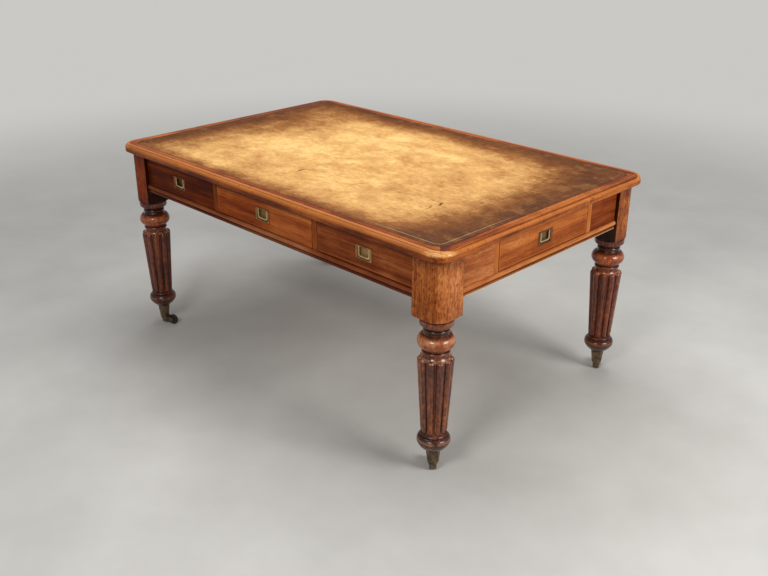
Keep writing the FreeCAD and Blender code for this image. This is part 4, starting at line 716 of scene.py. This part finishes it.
# ---------------------------------------------------------------------------
# Which piece is made of what
# ---------------------------------------------------------------------------
MATERIALS = {
    "leg": turned_wood("leg_mahogany"),
    "top_long": wood("top_mahogany_long", TOP_TONES, "X", 1.3, 0.9, 0.30, 3.2,
                     marks=border_marks),
    "top_end": wood("top_mahogany_ends", END_TOP_TONES, "Y", 4.1, 0.9, 0.30, 3.2,
                    marks=border_marks, hollow=(0.006, 0.5)),
    "rail_long": wood("rail_mahogany_long", RAIL_TONES, "X", 2.2, 0.7, 0.15,
                      marks=rail_marks(LIT_BEAD_TONES, srgb(104, 46, 22)), hollow=(0.005, 0.6)),
    # On the end rails the lower edge gets a painted highlight
    "rail_end": wood("rail_mahogany_ends", END_RAIL_TONES, "Y", 6.4, 0.7, 0.15,
                     marks=rail_marks(LIT_END_BEAD_TONES, srgb(222, 170, 124)),
                     hollow=(0.005, 0.6)),
    "upper_rail": wood("upper_rail_mahogany", RAIL_TONES, "ring", 3.7, 0.5),
    "divider": wood("divider_mahogany", DIVIDER_TONES, "Z", 5.2, 0.7,
                    marks=other_tones(END_DIVIDER_TONES, at_ends)),
    "panel": wood("panel_mahogany", PANEL_TONES, "Y", 7.9, 0.7,
                  marks=other_tones(FAR_PANEL_TONES, at_far_side)),
    "carcase": wood("carcase_timber", CARCASE_TONES, "ring", 9.3, contrast=0.8),
    "lining": wood("lining_timber", LINING_TONES, "ring", 8.6, contrast=0.7),
    "leather": hide("desk_leather"),
    "bail": brass("bail_brass", srgb(232, 196, 146), srgb(192, 154, 104), srgb(92, 66, 40), 0.15),
    "caster": brass("caster_brass", srgb(142, 120, 94), srgb(100, 81, 61), srgb(42, 33, 26), 0.65),
    "wheel": iron("wheel_iron"),
}
for order, drawer in enumerate(DRAWERS):
    MATERIALS[f"{drawer}_drawer_front"] = wood(
        f"drawer_mahogany_{drawer}", DRAWER_TONES[drawer],
        "Y" if drawer.endswith("_end") else "X", 11.0 + 2.3 * order, 0.75,
        0.0 if drawer == "front_left" else 0.06, marks=front_marks(drawer))
    clean, aged, dirt, pan = PLATES[PLATE_LIKE.get(drawer, drawer)]
    MATERIALS[f"{drawer}_handle_plate"] = brass(
        f"handle_brass_{drawer}", clean, aged, dirt, 0.30, pan)
    MATERIALS[f"{drawer}_handle_bail"] = MATERIALS["bail"]

BY_NODE = {
    "top_border_long_sides": "top_long", "top_border_ends": "top_end",
    "lower_rails_long_sides": "rail_long", "lower_rails_ends": "rail_end",
    "upper_rails": "upper_rail", "drawer_dividers": "divider", "end_panels": "panel",
}
BY_SLOT = {
    "leg_mahogany": "leg", "carcase_wood": "carcase", "lining_wood": "lining",
    "desk_leather": "leather", "caster_brass": "caster", "wheel_iron": "wheel",
}

for name, piece in NODES.items():
    material = MATERIALS.get(name) or MATERIALS[BY_NODE.get(name) or BY_SLOT[SLOT_OF[name]]]
    for material_slot in piece.material_slots:
        material_slot.material = material


# ---------------------------------------------------------------------------
# Eased edges: joiner's boards lose their sharp arrises in use.
# ---------------------------------------------------------------------------
EASE = {"top_border_long_sides": 0.0005, "top_border_ends": 0.0005, "top_leather": 0.0005,
        "lower_rails_long_sides": 0.0010, "lower_rails_ends": 0.0010, "upper_rails": 0.0008,
        "drawer_dividers": 0.0008, "end_panels": 0.0006}
DRAWER_FRONT_EASE = 0.0006
EASED_ANGLE = math.radians(40)
WELD_GAP = 2e-6


def soften(piece, width):
    """Edges rounded by the width, and faces shaded smoothly into them."""
    for polygon in piece.data.polygons:
        polygon.use_smooth = True
    weld = piece.modifiers.new("weld", "WELD")
    weld.merge_threshold = WELD_GAP
    bevel = piece.modifiers.new("eased_edges", "BEVEL")
    bevel.width = width
    bevel.segments = 2
    bevel.limit_method = "ANGLE"
    bevel.angle_limit = EASED_ANGLE
    bevel.use_clamp_overlap = False
    shade = piece.modifiers.new("shading", "WEIGHTED_NORMAL")
    shade.keep_sharp = True
    shade.weight = 60


for name, piece in NODES.items():
    if name in EASE:
        soften(piece, EASE[name])
    elif SLOT_OF[name] == "drawer_mahogany":
        soften(piece, DRAWER_FRONT_EASE)


# ---------------------------------------------------------------------------
# Dovetails where each drawer's sides lap into its front
# ---------------------------------------------------------------------------
TAIL_PROUD = 0.0002
TAIL_LENGTH = 0.014
TAIL_COUNT = 3
TAIL_WIDE, TAIL_NARROW = 0.024, 0.016
# A tail's corners: how far out they are, towards the drawer's face, and how far up
TAIL_OUTLINE = ((0.0, -TAIL_NARROW / 2), (TAIL_LENGTH, -TAIL_WIDE / 2),
                (TAIL_LENGTH, TAIL_WIDE / 2), (0.0, TAIL_NARROW / 2))


def dovetails(drawer):
    """Thin tails shown on both end faces of a drawer's front, wide towards its face."""
    low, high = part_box(f"{drawer}_drawer_front")
    out = Vector(SLIDES[f"{drawer}_drawer"]["axis"])
    side = Vector((0, 0, 1)).cross(out)
    back = min(low.dot(out), high.dot(out))
    across = sorted((low.dot(side), high.dot(side)))
    mesh = bpy.data.meshes.new(f"{drawer}_dovetails")
    shape = bmesh.new()
    for face, push in ((across[0], -TAIL_PROUD), (across[1], TAIL_PROUD)):
        for index in range(TAIL_COUNT):
            centre = low.z + (high.z - low.z) * (index + 0.5) / TAIL_COUNT
            inner, outer = ([shape.verts.new(out * (back + along_out) + side * level
                                             + Vector((0, 0, centre + up)))
                             for along_out, up in TAIL_OUTLINE]
                            for level in (face, face + push))
            shape.faces.new(outer)
            for first in range(4):
                second = (first + 1) % 4
                shape.faces.new((inner[first], inner[second], outer[second], outer[first]))
    bmesh.ops.recalc_face_normals(shape, faces=shape.faces)
    shape.to_mesh(mesh)
    shape.free()
    tails = bpy.data.objects.new(f"{drawer}_dovetails", mesh)
    bpy.context.scene.collection.objects.link(tails)
    mesh.materials.append(MATERIALS["lining"])
    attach(tails, f"{drawer}_drawer")


for drawer in DRAWERS:
    dovetails(drawer)


# ---------------------------------------------------------------------------
# Studio: pale floor and background, soft light, camera
# ---------------------------------------------------------------------------
FLOOR_HALF = 40.0
# From the origin: where the lit floor starts to turn into the background, and where it has
HORIZON = (1.5, 5.0)
SKY = (0.93, 0.95, 1.0, 1.0)
SKY_STRENGTH = 0.27
# Each light: its name, its place, what it points at, its size and its watts
LIGHTS = (
    ("overhead_softbox", (-0.3, 0.4, 3.2), (0, 0, 0.7), (2.6, 2.0), 64),
    ("front_softbox", (1.3, -3.2, 2.7), (0, 0, 0.5), (1.1, 0.8), 46),
    ("end_softbox", (3.8, 0.4, 2.2), (0, 0, 0.5), (1.6, 1.2), 80),
)
CAMERA_PLACE = (2.3272, -2.2842, 1.7015)
CAMERA_AZIMUTH = math.radians(44.58)
CAMERA_DOWN = math.radians(24.12)
CAMERA_ROLL = math.radians(0.158)
# In millimetres
CAMERA_LENS = 43.36
CAMERA_SENSOR = 36.0


def seen_directly(tree):
    """1 for rays from the eye, a mirror or glass, 0 for rays that carry light to the object."""
    path = tree.nodes.new("ShaderNodeLightPath")
    total = path.outputs["Is Camera Ray"]
    for name in ("Is Glossy Ray", "Is Transmission Ray"):
        node = tree.nodes.new("ShaderNodeMath")
        node.operation = "MAXIMUM"
        tree.links.new(total, node.inputs[0])
        tree.links.new(path.outputs[name], node.inputs[1])
        total = node.outputs[0]
    return total


def make_floor():
    """A cloudy pale floor that turns into the background before its horizon."""
    mesh = bpy.data.meshes.new("studio_floor")
    corners = [(x * FLOOR_HALF, y * FLOOR_HALF, 0) for x, y in ((-1, -1), (1, -1), (1, 1), (-1, 1))]
    mesh.from_pydata(corners, [], [(0, 1, 2, 3)])
    floor = bpy.data.objects.new("studio_floor", mesh)
    bpy.context.scene.collection.objects.link(floor)
    p = Pattern("studio_floor")
    cloud = p.noise(p.place, 1.8, 4.0, 0.6)
    backdrop = p.times(p.step(p.length(p.place), *HORIZON), seen_directly(p.tree))
    colour = p.mix(backdrop, p.ramp(cloud, *FLOOR_COLOURS), BLACK)
    p.feed(p.shader.inputs["Emission Color"], BACKGROUND)
    p.feed(p.shader.inputs["Emission Strength"], backdrop)
    rough = p.step(cloud, 0.3, 0.7, 0.85, 0.95)
    mesh.materials.append(p.finish(colour, rough, (("Specular IOR Level", 0.2),)))


def make_light(name, place, target, size, watts):
    light = bpy.data.lights.new(name, "AREA")
    light.shape = "RECTANGLE"
    light.size, light.size_y = size
    light.energy = watts
    lamp = bpy.data.objects.new(name, light)
    lamp.location = place
    aim = Vector(target) - Vector(place)
    lamp.rotation_euler = aim.to_track_quat("-Z", "Y").to_euler()
    bpy.context.scene.collection.objects.link(lamp)


def make_camera():
    camera = bpy.data.cameras.new("camera")
    camera.sensor_width = CAMERA_SENSOR
    camera.lens = CAMERA_LENS
    stand = bpy.data.objects.new("camera", camera)
    turn = (Matrix.Rotation(CAMERA_AZIMUTH, 4, "Z")
            @ Matrix.Rotation(math.pi / 2 - CAMERA_DOWN, 4, "X")
            @ Matrix.Rotation(CAMERA_ROLL, 4, "Z"))
    stand.matrix_world = Matrix.Translation(CAMERA_PLACE) @ turn
    bpy.context.scene.collection.objects.link(stand)
    bpy.context.scene.camera = stand


def make_world():
    """Soft sky light on the object, and the plain background behind it."""
    world = bpy.data.worlds.new("studio")
    world.use_nodes = True
    tree = world.node_tree
    tree.nodes.clear()
    output = tree.nodes.new("ShaderNodeOutputWorld")
    blend = tree.nodes.new("ShaderNodeMixShader")
    sky = tree.nodes.new("ShaderNodeBackground")
    sky.inputs["Color"].default_value = SKY
    sky.inputs["Strength"].default_value = SKY_STRENGTH
    backdrop = tree.nodes.new("ShaderNodeBackground")
    backdrop.inputs["Color"].default_value = BACKGROUND
    camera_ray = tree.nodes.new("ShaderNodeLightPath").outputs["Is Camera Ray"]
    tree.links.new(camera_ray, blend.inputs[0])
    tree.links.new(sky.outputs[0], blend.inputs[1])
    tree.links.new(backdrop.outputs[0], blend.inputs[2])
    tree.links.new(blend.outputs[0], output.inputs["Surface"])
    bpy.context.scene.world = world


make_floor()
for light in LIGHTS:
    make_light(*light)
make_camera()
make_world()
bpy.context.scene.view_settings.view_transform = "Standard"
